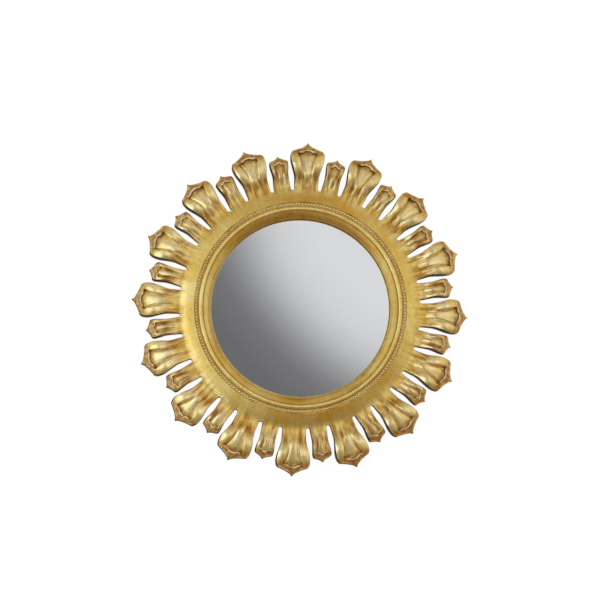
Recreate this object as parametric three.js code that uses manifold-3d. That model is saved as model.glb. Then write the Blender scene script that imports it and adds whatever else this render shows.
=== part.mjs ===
// A convex butler's mirror: a bulged round glass in a turned and beaded moulding, set in a gilt
// frame of carved petals. Each petal is one stave with its grain running outward, and the staves'
// wedge feet meet edge to edge and form the flared band round the moulding.
//
// The wall is the plane y = 0 and the mirror faces -Y. Its axis is the Y axis, and +Z is up.
// A depth is a distance in front of the wall, so a point at depth d has y = -d.

import * as THREE from 'three';
import { LoftGeometry } from 'three/addons/geometries/LoftGeometry.js';
import { mergeVertices } from 'three/addons/utils/BufferGeometryUtils.js';
import Module from 'manifold-3d';

const wasm = await Module();
wasm.setup();

// ---- Driving dimensions, in millimetres and degrees ----

const SEAT = 0.3; // glue line, or the seat between two pieces that touch
const TURNING_STEPS = 48; // flats round every turned piece
const SCREW_STEPS = 6;

// The glass is a bulged blank, silvered on its hollow side.
const GLASS_RADIUS = 228.5;
const GLASS_THICKNESS = 4;
const GLASS_RISE = 42.5; // from the plane of the rim to the crown
const GLASS_LAP = 6.5; // how far the moulding's lip covers the rim
const RIM_CLEARANCE = 2.5; // round the rim, in the rebate
const FELT_THICKNESS = 1.2;
const SPACER_WIDTH = 12;
const SPACER_RIM_SETBACK = 1;

// The sight moulding, from the glass outward.
const LIP_THICKNESS = 3;
const COVE_WIDTH = 18;
const COVE_HEIGHT = 13;
const COVE_START = 25; // slope of the cove beside the glass, in degrees
const QUIRK_WIDTH = 1.5;
const QUIRK_DEPTH = 1.5;
const ASTRAGAL_WIDTH = 11;
const ASTRAGAL_HEIGHT = 5.2;
const LEDGE_DROP = 5.5; // from the cove's top down to the ledge that carries the beads
const LEDGE_WIDTH = 9.2;

// The bead course.
const BEAD_COUNT = 208;
const BEAD_WIDTH = 7.4;
const BEAD_HEIGHT = 4.4;
const BEAD_NECK_WIDTH = 4.2;
const BEAD_NECK_HEIGHT = 1.4;

// The ring behind, and the board that closes the back.
const CORE_THICKNESS = 16;
const CORE_SETBACK = 6.7; // from the slots' inner ends back to the core's edge
const GLASS_SETTING = 18.7; // from the core's face to the back of the moulding's lip
const BOARD_THICKNESS = 4;
const BOARD_LAP = 15; // width of the core's rebate that the board lies in
const BOARD_CLEARANCE = 0.6;
const BOARD_SCREWS = 8;

// Screws: pan heads, the same for the board and for the straps.
const SCREW_RADIUS = 1.7;
const SCREW_HEAD_RADIUS = 3.6;
const SCREW_HEAD_HEIGHT = 2.1;
const SCREW_BITE = 8; // thread in the core
const SCREW_POINT = 3;

// Hangers: a strap folded into an eye, and a D-ring that swings in it.
const HANGER_ANGLE = 70; // round from the top
const STRAP_WIDTH = 18;
const STRAP_LENGTH = 56; // from the eye's middle to the strap's round end
const STRAP_THICKNESS = 1.5;
const STRAP_SCREWS = [30, 46]; // distances below the eye
const RING_WIRE_RADIUS = 1.75;
const RING_HALF_WIDTH = 14; // middle of the wire
const RING_DROP = 21; // from the bar down to the middle of the bow
const EYE_CLEARANCE = 0.3;

// Wall bumpers, at the bottom of the back.
const BUMPER_ANGLE = 150;
const BUMPER_RADIUS = 10;
const BUMPER_FACE_RADIUS = 8.5;
const WALL_GAP = 0.6; // left between the hangers' eyes and the wall

// The staves. Heights are above their flat backs.
const BAND_WIDTH = 32.4; // from the staves' inner ends to the ends of the slots
const BAND_HEIGHT = 34; // of the band's inner edge
const VALLEY_HEIGHT = 16;
const VALLEY_RUN = 8; // from the slots' ends out to the bottom of the valley
const SLOT_HALF_WIDTH = 4.4;
const LARGE_PETAL = {
  name: 'petal_large',
  copies: 16,
  firstAngle: 0,
  halfAngle: 6.4,
  reach: 120.8, // from the slots' ends to the tip
  waistRun: 26, // from the slots' ends to the narrowest place
  waistHalf: 30,
  headBack: 36.5, // from the tip back to the widest place
  headHalf: 42.8,
  shoulderBack: 20.5,
  shoulderHalf: 34,
  tipHalf: 0.9,
  ogee: 1.6, // how hollow the outline is from the shoulder to the tip
  crestBack: 54, // of the lips, on both sides of the tongue
  crestHeight: 32,
  tipHeight: 10,
  fall: 1.6, // how late the crown drops from the crest to the tip
  tongueCrestRun: 17.8, // from the waist out to where the tongue is highest
  tongueHeight: 27.5,
  tongueStops: [-1, -0.35, 0, 0.35, 1], // across the tongue, as shares of its half width
  scoopEndBack: 29.5,
  scoopHalf: 20.5, // of the tongue where the scoop ends
  scoopThroat: 7.6, // of the tongue at its root
  scoopDepth: 6.5,
  scoopBow: 5, // how far the middle of the scoop's end stands out
  edgeDrop: 4.5,
  ogeeStations: [0.45], // sections from the shoulder to the tip
};
const SMALL_PETAL = {
  name: 'petal_small',
  copies: 16,
  firstAngle: 11.25,
  halfAngle: 4.85,
  reach: 88.9,
  waistRun: 36,
  waistHalf: 19.5,
  headBack: 18.5,
  headHalf: 23.5,
  shoulderBack: 10.5,
  shoulderHalf: 16.5,
  tipHalf: 0.9,
  ogee: 1.5,
  crestBack: 36,
  crestHeight: 29,
  tipHeight: 11,
  fall: 1.6,
  tongueCrestRun: 0,
  tongueHeight: 25.5,
  tongueStops: [-1, 0, 1],
  scoopEndBack: 25,
  scoopHalf: 9.5,
  scoopThroat: 4.6,
  scoopDepth: 4.5,
  scoopBow: 3.5,
  edgeDrop: 3.5,
  ogeeStations: [0.45],
};
const TONGUE_FLARE = 2.9; // how late the tongue widens into the scoop
const GROOVE_DEPTH = 1.3; // of the two lines beside a tongue
const LIP_SHARE = 0.35; // of the way from a groove to the petal's edge, where the lip is highest
const SCOOP_RISE = 1.4; // run of the steep wall that ends a scoop

// ---- Radii and depths that follow ----

const sightRadius = GLASS_RADIUS - GLASS_LAP;
const rebateRadius = GLASS_RADIUS + RIM_CLEARANCE;
const coveRadius = sightRadius + COVE_WIDTH;
const astragalStart = coveRadius + QUIRK_WIDTH;
const astragalEnd = astragalStart + ASTRAGAL_WIDTH;
const ledgeStart = astragalEnd + QUIRK_WIDTH;
const mouldingRadius = ledgeStart + LEDGE_WIDTH;
const footRadius = mouldingRadius + SEAT;
const slotRadius = footRadius + BAND_WIDTH;
const slotEnd = slotRadius + SLOT_HALF_WIDTH;
const valleyRadius = slotRadius + VALLEY_RUN;
const coreRadius = slotRadius - CORE_SETBACK;
const boardSeatRadius = rebateRadius + BOARD_LAP;
const boardRadius = boardSeatRadius - BOARD_CLEARANCE;
const boardScrewRadius = rebateRadius + BOARD_LAP / 2;
const hangerRadius = (boardSeatRadius + coreRadius) / 2;

const eyeBore = RING_WIRE_RADIUS + EYE_CLEARANCE;
const eyeRadius = eyeBore + STRAP_THICKNESS;
const coreBack = WALL_GAP + 2 * eyeRadius + SEAT;
const coreFront = coreBack + CORE_THICKNESS;
const eyeDepth = coreBack - SEAT - eyeRadius;
const boardBack = coreBack + SEAT;
const boardFront = boardBack + BOARD_THICKNESS;
const boardStep = boardFront + SEAT;
const staveBack = coreFront + SEAT;
const lipDepth = staveBack + GLASS_SETTING;
const sightDepth = lipDepth + LIP_THICKNESS;
const coveDepth = sightDepth + COVE_HEIGHT;
const quirkDepth = coveDepth - QUIRK_DEPTH;
const ledgeDepth = coveDepth - LEDGE_DROP;

// Both faces of the glass are parts of spheres with one centre.
const bulgeRadius = (GLASS_RADIUS ** 2 + GLASS_RISE ** 2) / (2 * GLASS_RISE);
const fall = (sphere, r) => sphere - Math.sqrt(sphere ** 2 - r ** 2);
const feltInner = sightRadius + 1;
const crownDepth = lipDepth - 2 * SEAT - FELT_THICKNESS + fall(bulgeRadius, feltInner);
const glassFront = (r) => crownDepth - fall(bulgeRadius, r);
const glassBack = (r) => crownDepth - GLASS_THICKNESS - fall(bulgeRadius - GLASS_THICKNESS, r);

// ---- Helpers ----

const rad = THREE.MathUtils.degToRad;
const mix = THREE.MathUtils.lerp;
const share = (value, from, to) => THREE.MathUtils.clamp((value - from) / (to - from), 0, 1);
const ease = (value, from, to) => THREE.MathUtils.smoothstep(value, from, to);

/** A place on the back or front of the frame: an angle round from the top, seen from the front. */
function around(angle, radius, depth) {
  const a = rad(angle);
  return new THREE.Vector3(radius * Math.sin(a), -depth, radius * Math.cos(a));
}

/** Turns a closed outline of [radius, depth] pairs round the mirror's axis. */
function turned(outline, steps) {
  const points = outline.map(([radius, depth]) => new THREE.Vector2(radius, -depth));
  const onAxis = outline[0][0] === 0;
  if (!onAxis) points.push(points[0].clone());
  return new THREE.LatheGeometry(points, steps);
}

/** A cylinder along the mirror's axis from one depth to another. */
function post(radius, fromDepth, toDepth, steps) {
  const cylinder = new THREE.CylinderGeometry(radius, radius, toDepth - fromDepth, steps);
  return cylinder.translate(0, -(fromDepth + toDepth) / 2, 0);
}

function toManifold(geometry) {
  const bare = geometry.index ? geometry.toNonIndexed() : geometry.clone();
  bare.deleteAttribute('normal');
  bare.deleteAttribute('uv');
  const merged = mergeVertices(bare, 1e-4);
  return new wasm.Manifold(new wasm.Mesh({
    numProp: 3,
    vertProperties: Float32Array.from(merged.attributes.position.array),
    triVerts: Uint32Array.from(merged.index.array),
  }));
}

function fromManifold(solid) {
  const { vertProperties, triVerts } = solid.getMesh();
  const geometry = new THREE.BufferGeometry();
  geometry.setAttribute('position', new THREE.BufferAttribute(vertProperties, 3));
  geometry.setIndex(new THREE.BufferAttribute(triVerts, 1));
  const faceted = geometry.toNonIndexed();
  faceted.computeVertexNormals();
  return faceted;
}

/** Cuts each tool from a body. */
function cut(body, tools) {
  const solid = tools.reduce((left, tool) => left.subtract(toManifold(tool)), toManifold(body));
  return fromManifold(solid);
}

// ---- Materials ----

function finish(color, roughness, metalness) {
  return new THREE.MeshStandardMaterial({ color, roughness, metalness });
}

const gilt = () => finish(0xc99a45, 0.38, 1);
const paleGilt = () => finish(0xd9b36a, 0.32, 1);
const rawWood = () => finish(0x9a7a52, 0.75, 0);
const hardboard = () => finish(0x6b4a30, 0.8, 0);
const silvered = () => finish(0xdfe3e6, 0.04, 1);
const felt = () => finish(0x2c2a28, 0.95, 0);
const steel = () => finish(0x9b9c9e, 0.35, 1);
const brass = () => finish(0xb08d4a, 0.35, 1);
const rubber = () => finish(0x26241f, 0.9, 0);

const mirror = new THREE.Group();

function add(name, geometry, material, position) {
  const mesh = new THREE.Mesh(geometry, material);
  mesh.name = name;
  if (position) mesh.position.copy(position);
  mirror.add(mesh);
  return mesh;
}

// ---- The glass and what holds it ----

function glassGeometry() {
  const frontStops = [0, 0.28, 0.52, 0.76, 1].map((t) => t * feltInner);
  const front = [...frontStops, GLASS_RADIUS].map((r) => [r, glassFront(r)]);
  const spacerInner = GLASS_RADIUS - SPACER_WIDTH;
  const backStops = [0, 0.35, 0.7, 1].map((t) => t * spacerInner);
  const back = [...backStops, GLASS_RADIUS].map((r) => [r, glassBack(r)]);
  return turned([...front, ...back.reverse()], TURNING_STEPS);
}

function feltGeometry() {
  const front = lipDepth - SEAT;
  const backAt = (r) => glassFront(r) + SEAT;
  return turned([
    [feltInner, front],
    [GLASS_RADIUS, front],
    [GLASS_RADIUS, backAt(GLASS_RADIUS)],
    [feltInner, backAt(feltInner)],
  ], TURNING_STEPS);
}

function spacerGeometry() {
  const inner = GLASS_RADIUS - SPACER_WIDTH;
  const outer = GLASS_RADIUS - SPACER_RIM_SETBACK;
  const frontAt = (r) => glassBack(r) - SEAT;
  return turned([
    [inner, frontAt(inner)],
    [outer, frontAt(outer)],
    [outer, boardStep],
    [inner, boardStep],
  ], TURNING_STEPS);
}

function boardGeometry() {
  const disc = post(boardRadius, boardBack, boardFront, TURNING_STEPS);
  return cut(disc, boardScrewPlaces().map((place) => screwHole(place, boardFront - boardBack)));
}

// ---- The turned moulding and its beads ----

/** The hollow curve that rises from the glass: an arc that steepens from its starting slope. */
function coveOutline() {
  const start = rad(COVE_START);
  const end = 2 * Math.atan2(COVE_HEIGHT, COVE_WIDTH) - start;
  const sweep = COVE_WIDTH / (Math.sin(end) - Math.sin(start));
  return [0, 0.35, 0.7, 1].map((t) => {
    const slope = mix(start, end, t);
    const out = sweep * (Math.sin(slope) - Math.sin(start));
    const up = sweep * (Math.cos(start) - Math.cos(slope));
    return [sightRadius + out, sightDepth + up];
  });
}

function mouldingGeometry() {
  const astragal = [0, 1, 2, 3].map((i) => {
    const angle = Math.PI * (1 - i / 3);
    const middle = (astragalStart + astragalEnd) / 2;
    const across = (ASTRAGAL_WIDTH / 2) * Math.cos(angle);
    return [middle + across, quirkDepth + ASTRAGAL_HEIGHT * Math.sin(angle)];
  });
  return turned([
    ...coveOutline(),
    ...astragal,
    [ledgeStart, ledgeDepth],
    [mouldingRadius, ledgeDepth],
    [mouldingRadius, staveBack],
    [rebateRadius, staveBack],
    [rebateRadius, lipDepth],
    [sightRadius, lipDepth],
  ], TURNING_STEPS);
}

/** A strip of beads: its section swells at each bead and narrows at each neck. */
function beadGeometry() {
  const middle = (ledgeStart + mouldingRadius) / 2;
  const base = ledgeDepth + SEAT;
  const sections = [];
  for (let i = 0; i <= 2 * BEAD_COUNT; i++) {
    const angle = (i % (2 * BEAD_COUNT)) * (180 / BEAD_COUNT);
    const bead = i % 2 === 0;
    const half = (bead ? BEAD_WIDTH : BEAD_NECK_WIDTH) / 2;
    const height = bead ? BEAD_HEIGHT : BEAD_NECK_HEIGHT;
    sections.push([
      around(angle, middle + half, base),
      around(angle, middle, base + height),
      around(angle, middle - half, base),
    ]);
  }
  return new LoftGeometry(sections);
}

// ---- The carved petals ----

/** Half of a petal's width at a distance from the mirror's axis, along the petal. */
function halfWidth(petal, along) {
  const seam = along * Math.tan(rad(petal.halfAngle)) - SEAT / 2;
  if (along <= slotRadius) return seam;
  if (along < slotEnd) {
    const back = (slotEnd - along) / SLOT_HALF_WIDTH;
    return seam - SLOT_HALF_WIDTH * Math.sqrt(1 - back ** 2);
  }
  const tip = slotRadius + petal.reach;
  const waist = slotRadius + petal.waistRun;
  const head = tip - petal.headBack;
  const shoulder = tip - petal.shoulderBack;
  const root = slotEnd * Math.tan(rad(petal.halfAngle)) - SEAT / 2 - SLOT_HALF_WIDTH;
  if (along < waist) return mix(root, petal.waistHalf, ease(along, slotEnd, waist));
  if (along < head) return mix(petal.waistHalf, petal.headHalf, ease(along, waist, head));
  if (along < shoulder) {
    const turn = Math.sqrt(1 - share(along, head, shoulder) ** 2);
    return mix(petal.shoulderHalf, petal.headHalf, turn);
  }
  const left = (1 - share(along, shoulder, tip)) ** petal.ogee;
  return mix(petal.tipHalf, petal.shoulderHalf, left);
}

/** Height of a petal's lips at a distance from the mirror's axis. */
function crownHeight(petal, radius) {
  const tip = slotRadius + petal.reach;
  const crest = tip - petal.crestBack;
  if (radius < valleyRadius) {
    const t = share(radius, footRadius, valleyRadius);
    return mix(BAND_HEIGHT, VALLEY_HEIGHT, Math.sin((t * Math.PI) / 2));
  }
  if (radius < crest) return mix(VALLEY_HEIGHT, petal.crestHeight, ease(radius, valleyRadius, crest));
  return mix(petal.crestHeight, petal.tipHeight, share(radius, crest, tip) ** petal.fall);
}

/** Height of the tongue, the strip down a petal's middle that dives into the scoop. */
function tongueHeight(petal, along) {
  const crest = slotRadius + petal.waistRun + petal.tongueCrestRun;
  const scoopEnd = slotRadius + petal.reach - petal.scoopEndBack;
  const floor = crownHeight(petal, scoopEnd) - petal.scoopDepth;
  if (along < crest) return mix(VALLEY_HEIGHT, petal.tongueHeight, ease(along, valleyRadius, crest));
  return mix(petal.tongueHeight, floor, share(along, crest, scoopEnd) ** 1.5);
}

/** One cross-section of a petal, square to its length but for the bow of the scoop's end. */
function petalSection(petal, { along, tongued = false, bow = 0 }) {
  const tip = slotRadius + petal.reach;
  const head = tip - petal.headBack;
  const scoopEnd = tip - petal.scoopEndBack;
  const half = halfWidth(petal, along);
  const flare = share(along, slotEnd, scoopEnd) ** TONGUE_FLARE;
  const tongueHalf = Math.min(mix(petal.scoopThroat, petal.scoopHalf, flare), half / 2);
  const drop = petal.edgeDrop * ease(along, slotRadius, head);

  const place = (across, height, shift = 0) => (
    new THREE.Vector3(across, -(staveBack + height), along + shift)
  );
  const crown = (across) => crownHeight(petal, Math.hypot(along, across));
  const tonguePlace = (t) => {
    const across = tongueHalf * t;
    const shift = Math.abs(t) < 1 ? bow : 0;
    if (!tongued) return place(across, crown(across), shift);
    const top = tongueHeight(petal, along);
    const height = Math.abs(t) < 1 ? top : Math.min(top, crown(across)) - GROOVE_DEPTH;
    return place(across, height, shift);
  };
  const lip = mix(tongueHalf, half, LIP_SHARE);
  return [
    place(half, 0),
    place(-half, 0),
    place(-half, crown(half) - drop),
    place(-lip, crown(lip)),
    ...petal.tongueStops.map(tonguePlace),
    place(lip, crown(lip)),
    place(half, crown(half) - drop),
  ];
}

function petalGeometry(petal) {
  const tip = slotRadius + petal.reach;
  const crest = tip - petal.crestBack;
  const head = tip - petal.headBack;
  const scoopEnd = tip - petal.scoopEndBack;
  const shoulder = tip - petal.shoulderBack;
  const waist = slotRadius + petal.waistRun;
  const tongueStations = new Set([waist, waist + petal.tongueCrestRun, crest]);
  const stations = [
    { along: footRadius },
    { along: slotRadius },
    { along: slotEnd },
    ...[...tongueStations].map((along) => ({ along, tongued: true })),
    { along: head, tongued: head < scoopEnd },
    { along: scoopEnd, tongued: true, bow: petal.scoopBow },
    { along: scoopEnd + SCOOP_RISE, bow: petal.scoopBow },
    { along: shoulder },
    ...petal.ogeeStations.map((t) => ({ along: mix(shoulder, tip, t) })),
    { along: tip },
  ].sort((nearer, farther) => nearer.along - farther.along);
  const sections = stations.map((station) => petalSection(petal, station));
  return new LoftGeometry(sections, { capStart: true, capEnd: true });
}

function addPetals(petal) {
  for (let i = 0; i < petal.copies; i++) {
    const number = String(i + 1).padStart(2, '0');
    const mesh = add(`${petal.name}_${number}`, petalGeometry(petal), gilt());
    mesh.rotation.y = rad(petal.firstAngle + (i * 360) / petal.copies);
  }
}

// ---- The core ring, the screws and the hangers ----

function boardScrewPlaces() {
  const pitch = 360 / BOARD_SCREWS;
  const angles = Array.from({ length: BOARD_SCREWS }, (_, i) => (i + 0.5) * pitch);
  return angles.map((angle) => around(angle, boardScrewRadius, boardBack));
}

/** The strap's eye stands at the origin; its plate hangs down from there. */
const hangerPlaces = [-HANGER_ANGLE, HANGER_ANGLE].map((angle) => {
  const middle = around(angle, hangerRadius, eyeDepth);
  return middle.add(new THREE.Vector3(0, 0, STRAP_LENGTH / 2));
});

function strapScrewPlaces() {
  return hangerPlaces.flatMap((eye) => STRAP_SCREWS.map((below) => (
    new THREE.Vector3(eye.x, -(coreBack - SEAT - STRAP_THICKNESS), eye.z - below)
  )));
}

/** A hole along the mirror's axis for a screw whose head seats at the place. */
function screwHole(place, length) {
  const hole = post(SCREW_RADIUS + SEAT, -1, length + 1, SCREW_STEPS);
  return hole.translate(place.x, place.y, place.z);
}

function screwGeometry(grip) {
  const length = grip + SCREW_BITE;
  return turned([
    [0, length],
    [SCREW_RADIUS, length - SCREW_POINT],
    [SCREW_RADIUS, 0],
    [SCREW_HEAD_RADIUS, 0],
    [SCREW_HEAD_RADIUS * 0.72, -SCREW_HEAD_HEIGHT],
    [0, -SCREW_HEAD_HEIGHT],
  ], SCREW_STEPS).translate(0, SEAT, 0);
}

function coreGeometry() {
  const ring = turned([
    [rebateRadius, coreFront],
    [coreRadius, coreFront],
    [coreRadius, coreBack],
    [boardSeatRadius, coreBack],
    [boardSeatRadius, boardStep],
    [rebateRadius, boardStep],
  ], TURNING_STEPS);
  const reach = SCREW_BITE + SEAT;
  return cut(ring, [
    ...boardScrewPlaces().map((place) => screwHole(place, BOARD_THICKNESS + reach)),
    ...strapScrewPlaces().map((place) => screwHole(place, STRAP_THICKNESS + reach)),
  ]);
}

function strapGeometry() {
  const seat = -eyeRadius; // the strap's outline is drawn in [z, y], with the eye's middle at 0
  const top = seat + STRAP_THICKNESS;
  const meet = Math.PI - Math.asin(top / eyeRadius);
  const side = new THREE.Shape();
  side.moveTo(-STRAP_LENGTH, seat);
  side.lineTo(0, seat);
  side.absarc(0, 0, eyeRadius, -Math.PI / 2, meet, false);
  side.lineTo(-STRAP_LENGTH, top);
  side.closePath();
  const bore = new THREE.Path();
  bore.absarc(0, 0, eyeBore, 0, 2 * Math.PI, true);
  side.holes.push(bore);
  const blank = new THREE.ExtrudeGeometry(side, {
    depth: STRAP_WIDTH,
    bevelEnabled: false,
    curveSegments: 6,
  });
  // The outline's [z, y] becomes the frame's +Z and +Y, and the extrusion runs along X.
  blank.applyMatrix4(new THREE.Matrix4().makeBasis(
    new THREE.Vector3(0, 0, 1), new THREE.Vector3(0, 1, 0), new THREE.Vector3(-1, 0, 0),
  )).translate(STRAP_WIDTH / 2, 0, 0);

  const plan = new THREE.Shape();
  const half = STRAP_WIDTH / 2;
  plan.moveTo(half, 2 * eyeRadius);
  plan.lineTo(-half, 2 * eyeRadius);
  plan.lineTo(-half, -(STRAP_LENGTH - half));
  plan.absarc(0, -(STRAP_LENGTH - half), half, Math.PI, 2 * Math.PI, false);
  plan.closePath();
  const outline = new THREE.ExtrudeGeometry(plan, {
    depth: 4 * eyeRadius,
    bevelEnabled: false,
    curveSegments: 4,
  });
  outline.rotateX(Math.PI / 2).translate(0, 2 * eyeRadius, 0);
  const holes = STRAP_SCREWS.map((below) => (
    post(SCREW_RADIUS + SEAT, -eyeRadius, 2 * eyeRadius, SCREW_STEPS).translate(0, 0, -below)
  ));
  const strap = toManifold(blank).intersect(toManifold(outline));
  return fromManifold(holes.reduce((left, hole) => left.subtract(toManifold(hole)), strap));
}

/** A closed D of round wire: a straight bar in the eye, and a bow that hangs from it. */
function ringGeometry() {
  const bowSteps = 10;
  const wireSides = 6;
  const control = (RING_DROP * 4) / 3;
  const bow = new THREE.CubicBezierCurve3(
    new THREE.Vector3(-RING_HALF_WIDTH, 0, 0),
    new THREE.Vector3(-RING_HALF_WIDTH, 0, -control),
    new THREE.Vector3(RING_HALF_WIDTH, 0, -control),
    new THREE.Vector3(RING_HALF_WIDTH, 0, 0),
  );
  const stops = bow.getPoints(bowSteps);
  const sections = stops.map((point, i) => {
    const tangent = bow.getTangent(i / bowSteps);
    // The first and last sections lie on the mitre between the bow and the bar.
    const mitre = i === 0 || i === bowSteps;
    const outward = new THREE.Vector3(tangent.z, 0, -tangent.x);
    if (mitre) outward.add(new THREE.Vector3(0, 0, 1));
    return Array.from({ length: wireSides }, (_, j) => {
      const a = (j / wireSides) * 2 * Math.PI;
      return point.clone()
        .addScaledVector(outward, RING_WIRE_RADIUS * Math.cos(a))
        .addScaledVector(new THREE.Vector3(0, 1, 0), RING_WIRE_RADIUS * Math.sin(a));
    });
  });
  sections.push(sections[0].map((point) => point.clone()));
  return new LoftGeometry(sections);
}

function bumperGeometry() {
  const height = coreBack - SEAT;
  return new THREE.CylinderGeometry(BUMPER_FACE_RADIUS, BUMPER_RADIUS, height, 16)
    .translate(0, -height / 2, 0);
}

// ---- Assembly ----

add('core_ring', coreGeometry(), rawWood());
add('sight_moulding', mouldingGeometry(), paleGilt());
add('bead_ring', beadGeometry(), paleGilt());
addPetals(LARGE_PETAL);
addPetals(SMALL_PETAL);
add('convex_mirror', glassGeometry(), silvered());
add('glass_felt', feltGeometry(), felt());
add('spacer_ring', spacerGeometry(), rawWood());
add('backing_board', boardGeometry(), hardboard());

boardScrewPlaces().forEach((place, i) => {
  add(`board_screw_${i + 1}`, screwGeometry(BOARD_THICKNESS), brass(), place);
});
strapScrewPlaces().forEach((place, i) => {
  add(`strap_screw_${i + 1}`, screwGeometry(STRAP_THICKNESS), steel(), place);
});
['left', 'right'].forEach((side, i) => {
  add(`strap_${side}`, strapGeometry(), steel(), hangerPlaces[i]);
  add(`d_ring_${side}`, ringGeometry(), steel(), hangerPlaces[i]);
  const angle = i === 0 ? -BUMPER_ANGLE : BUMPER_ANGLE;
  add(`bumper_${side}`, bumperGeometry(), rubber(), around(angle, hangerRadius, 0));
});

export default mirror;
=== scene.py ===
# %% [markdown]
# # A convex butler's mirror in a carved and gilded frame
#
# The real mirror is a bulged glass in a turned moulding with a course of small beads. Sixteen
# large and sixteen small carved petals stand round it, and their wedge feet meet edge to edge in
# a flared band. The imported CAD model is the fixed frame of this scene: it says where each thing
# is, and the cells below dress it piece by piece.

# %% Load the CAD frame
import math
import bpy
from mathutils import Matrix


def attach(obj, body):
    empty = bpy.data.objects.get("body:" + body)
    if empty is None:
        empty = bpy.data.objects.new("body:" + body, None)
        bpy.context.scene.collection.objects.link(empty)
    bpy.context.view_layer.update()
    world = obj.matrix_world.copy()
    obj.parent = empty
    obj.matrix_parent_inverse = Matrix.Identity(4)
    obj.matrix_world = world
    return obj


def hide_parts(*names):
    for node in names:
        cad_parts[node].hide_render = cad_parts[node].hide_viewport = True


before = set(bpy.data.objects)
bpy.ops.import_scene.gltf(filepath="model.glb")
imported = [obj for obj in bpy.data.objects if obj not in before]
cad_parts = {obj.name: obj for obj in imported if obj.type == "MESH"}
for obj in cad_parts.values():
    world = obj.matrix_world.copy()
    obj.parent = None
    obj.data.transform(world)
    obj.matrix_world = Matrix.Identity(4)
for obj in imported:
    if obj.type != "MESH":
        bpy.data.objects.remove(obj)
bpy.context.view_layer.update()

from types import SimpleNamespace

import bpy
import numpy as np
from mathutils import Matrix, Vector

scene = bpy.context.scene

# %% [markdown]
# ## Sizes
#
# The maker's drawing is in millimetres: radii from the mirror's axis, and depths in front of the
# wall. Blender works in metres, so the numbers stay as drawn and are scaled once, when a mesh is
# made. The axis is Y, the glass faces -Y, and +Z is up.

# %% Radii and depths of the turned work
MM = 0.001
CLEARANCE = 0.3  # between two pieces that touch

GLASS_RADIUS = 228.5
GLASS_THICKNESS = 4.0
BULGE_RADIUS = 635.5  # of the sphere that the glass is part of
CROWN_DEPTH = 81.61
SIGHT_RADIUS = 222.0
SIGHT_DEPTH = 46.0
LIP_DEPTH = 43.0
COVE_RADIUS = 240.0
COVE_DEPTH = 59.0
COVE_START = 25.0  # degrees that the cove is tilted beside the glass
QUIRK_DEPTH = 57.5
ASTRAGAL = (241.5, 252.5)
ASTRAGAL_HEIGHT = 5.2
LEDGE_START = 254.0
LEDGE_DEPTH = 53.5
MOULDING_RADIUS = 263.2
REBATE_RADIUS = 231.0
CORE_RADIUS = 289.2
CORE_BACK, CORE_FRONT = 8.0, 24.0
BOARD_SEAT_RADIUS = 246.0
BOARD_BACK, BOARD_FRONT = 8.3, 12.3
STAVE_DEPTH = 24.3  # of the petals' flat backs
FOOT_RADIUS = 263.5
SLOT_RADIUS = 295.9
SLOT_HALF = 4.4
SLOT_END = SLOT_RADIUS + SLOT_HALF
VALLEY_RADIUS = 303.9
BAND_HEIGHT = 34.0
VALLEY_HEIGHT = 16.0

sight_centre = Vector((0, -SIGHT_DEPTH * MM, 0))
print("sight opening:", 2 * SIGHT_RADIUS, "mm across")

# %% [markdown]
# ## The camera
#
# The photograph is a long-lens view, almost square to the glass: the petals' tips sit a little
# low and left of the glass, so the camera stands slightly left of the axis and below it. The
# mirror also hangs a little turned, and the camera is rolled the other way to show that.

# %% Camera
PHOTO_SIDE = 600  # pixels
MM_PER_PIXEL = 2.47
GLASS_RIGHT_OF_MIDDLE = 0.4  # pixels
GLASS_BELOW_MIDDLE = 7.9
CAMERA_AZIMUTH, CAMERA_ELEVATION, CAMERA_ROLL = -3.0, -8.0, 2.8  # degrees
CAMERA_DISTANCE = 8.0
SENSOR_WIDTH = 36


def way_out(azimuth, elevation):
    """The direction from the mirror to what stands in front of it, in degrees right and up."""
    a, e = math.radians(azimuth), math.radians(elevation)
    return Vector((math.sin(a) * math.cos(e), -math.cos(a) * math.cos(e), math.sin(e)))


heading, roll = math.radians(CAMERA_AZIMUTH), math.radians(CAMERA_ROLL)
back = way_out(CAMERA_AZIMUTH, CAMERA_ELEVATION)
level = Vector((math.cos(heading), math.sin(heading), 0))
upright = back.cross(level)
right = level * math.cos(roll) + upright * math.sin(roll)
up = upright * math.cos(roll) - level * math.sin(roll)
aim = sight_centre + (up * GLASS_BELOW_MIDDLE - right * GLASS_RIGHT_OF_MIDDLE) * MM_PER_PIXEL * MM

camera = bpy.data.objects.new("camera", bpy.data.cameras.new("camera"))
scene.collection.objects.link(camera)
camera.data.sensor_width = SENSOR_WIDTH
camera.data.lens = SENSOR_WIDTH * CAMERA_DISTANCE / (PHOTO_SIDE * MM_PER_PIXEL * MM)
camera.data.clip_start, camera.data.clip_end = 0.1, 50
camera.matrix_world = Matrix.Translation(aim + back * CAMERA_DISTANCE) @ Matrix(
    (right, up, back)).transposed().to_4x4()
scene.camera = camera
print("lens:", round(camera.data.lens, 1), "mm")

# %% [markdown]
# ## Building shader and geometry trees
#
# Both kinds of tree are wired from Python. A few tiny helpers that add a node, set its fields and
# plug in its inputs keep each recipe short enough to read as one.


# %% Helpers that add nodes to any tree
def plug(tree, node, **inputs):
    """Fills a node's inputs. Each is given a value or another node's output socket."""
    for label, value in inputs.items():
        label = label.replace("_", " ").strip()
        socket = node.inputs[int(label)] if label.isdigit() else node.inputs[label]
        if isinstance(value, bpy.types.NodeSocket):
            tree.links.new(value, socket)
        else:
            socket.default_value = value
    return node


def add_node(tree, kind, settings=None, **inputs):
    node = tree.nodes.new(kind)
    for field, value in (settings or {}).items():
        setattr(node, field, value)
    return plug(tree, node, **inputs)


def math_node(tree, operation, first, second=0.0, third=0.0, clamp=False):
    settings = {"operation": operation, "use_clamp": clamp}
    return add_node(tree, "ShaderNodeMath", settings, _0=first, _1=second, _2=third).outputs[0]


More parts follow.
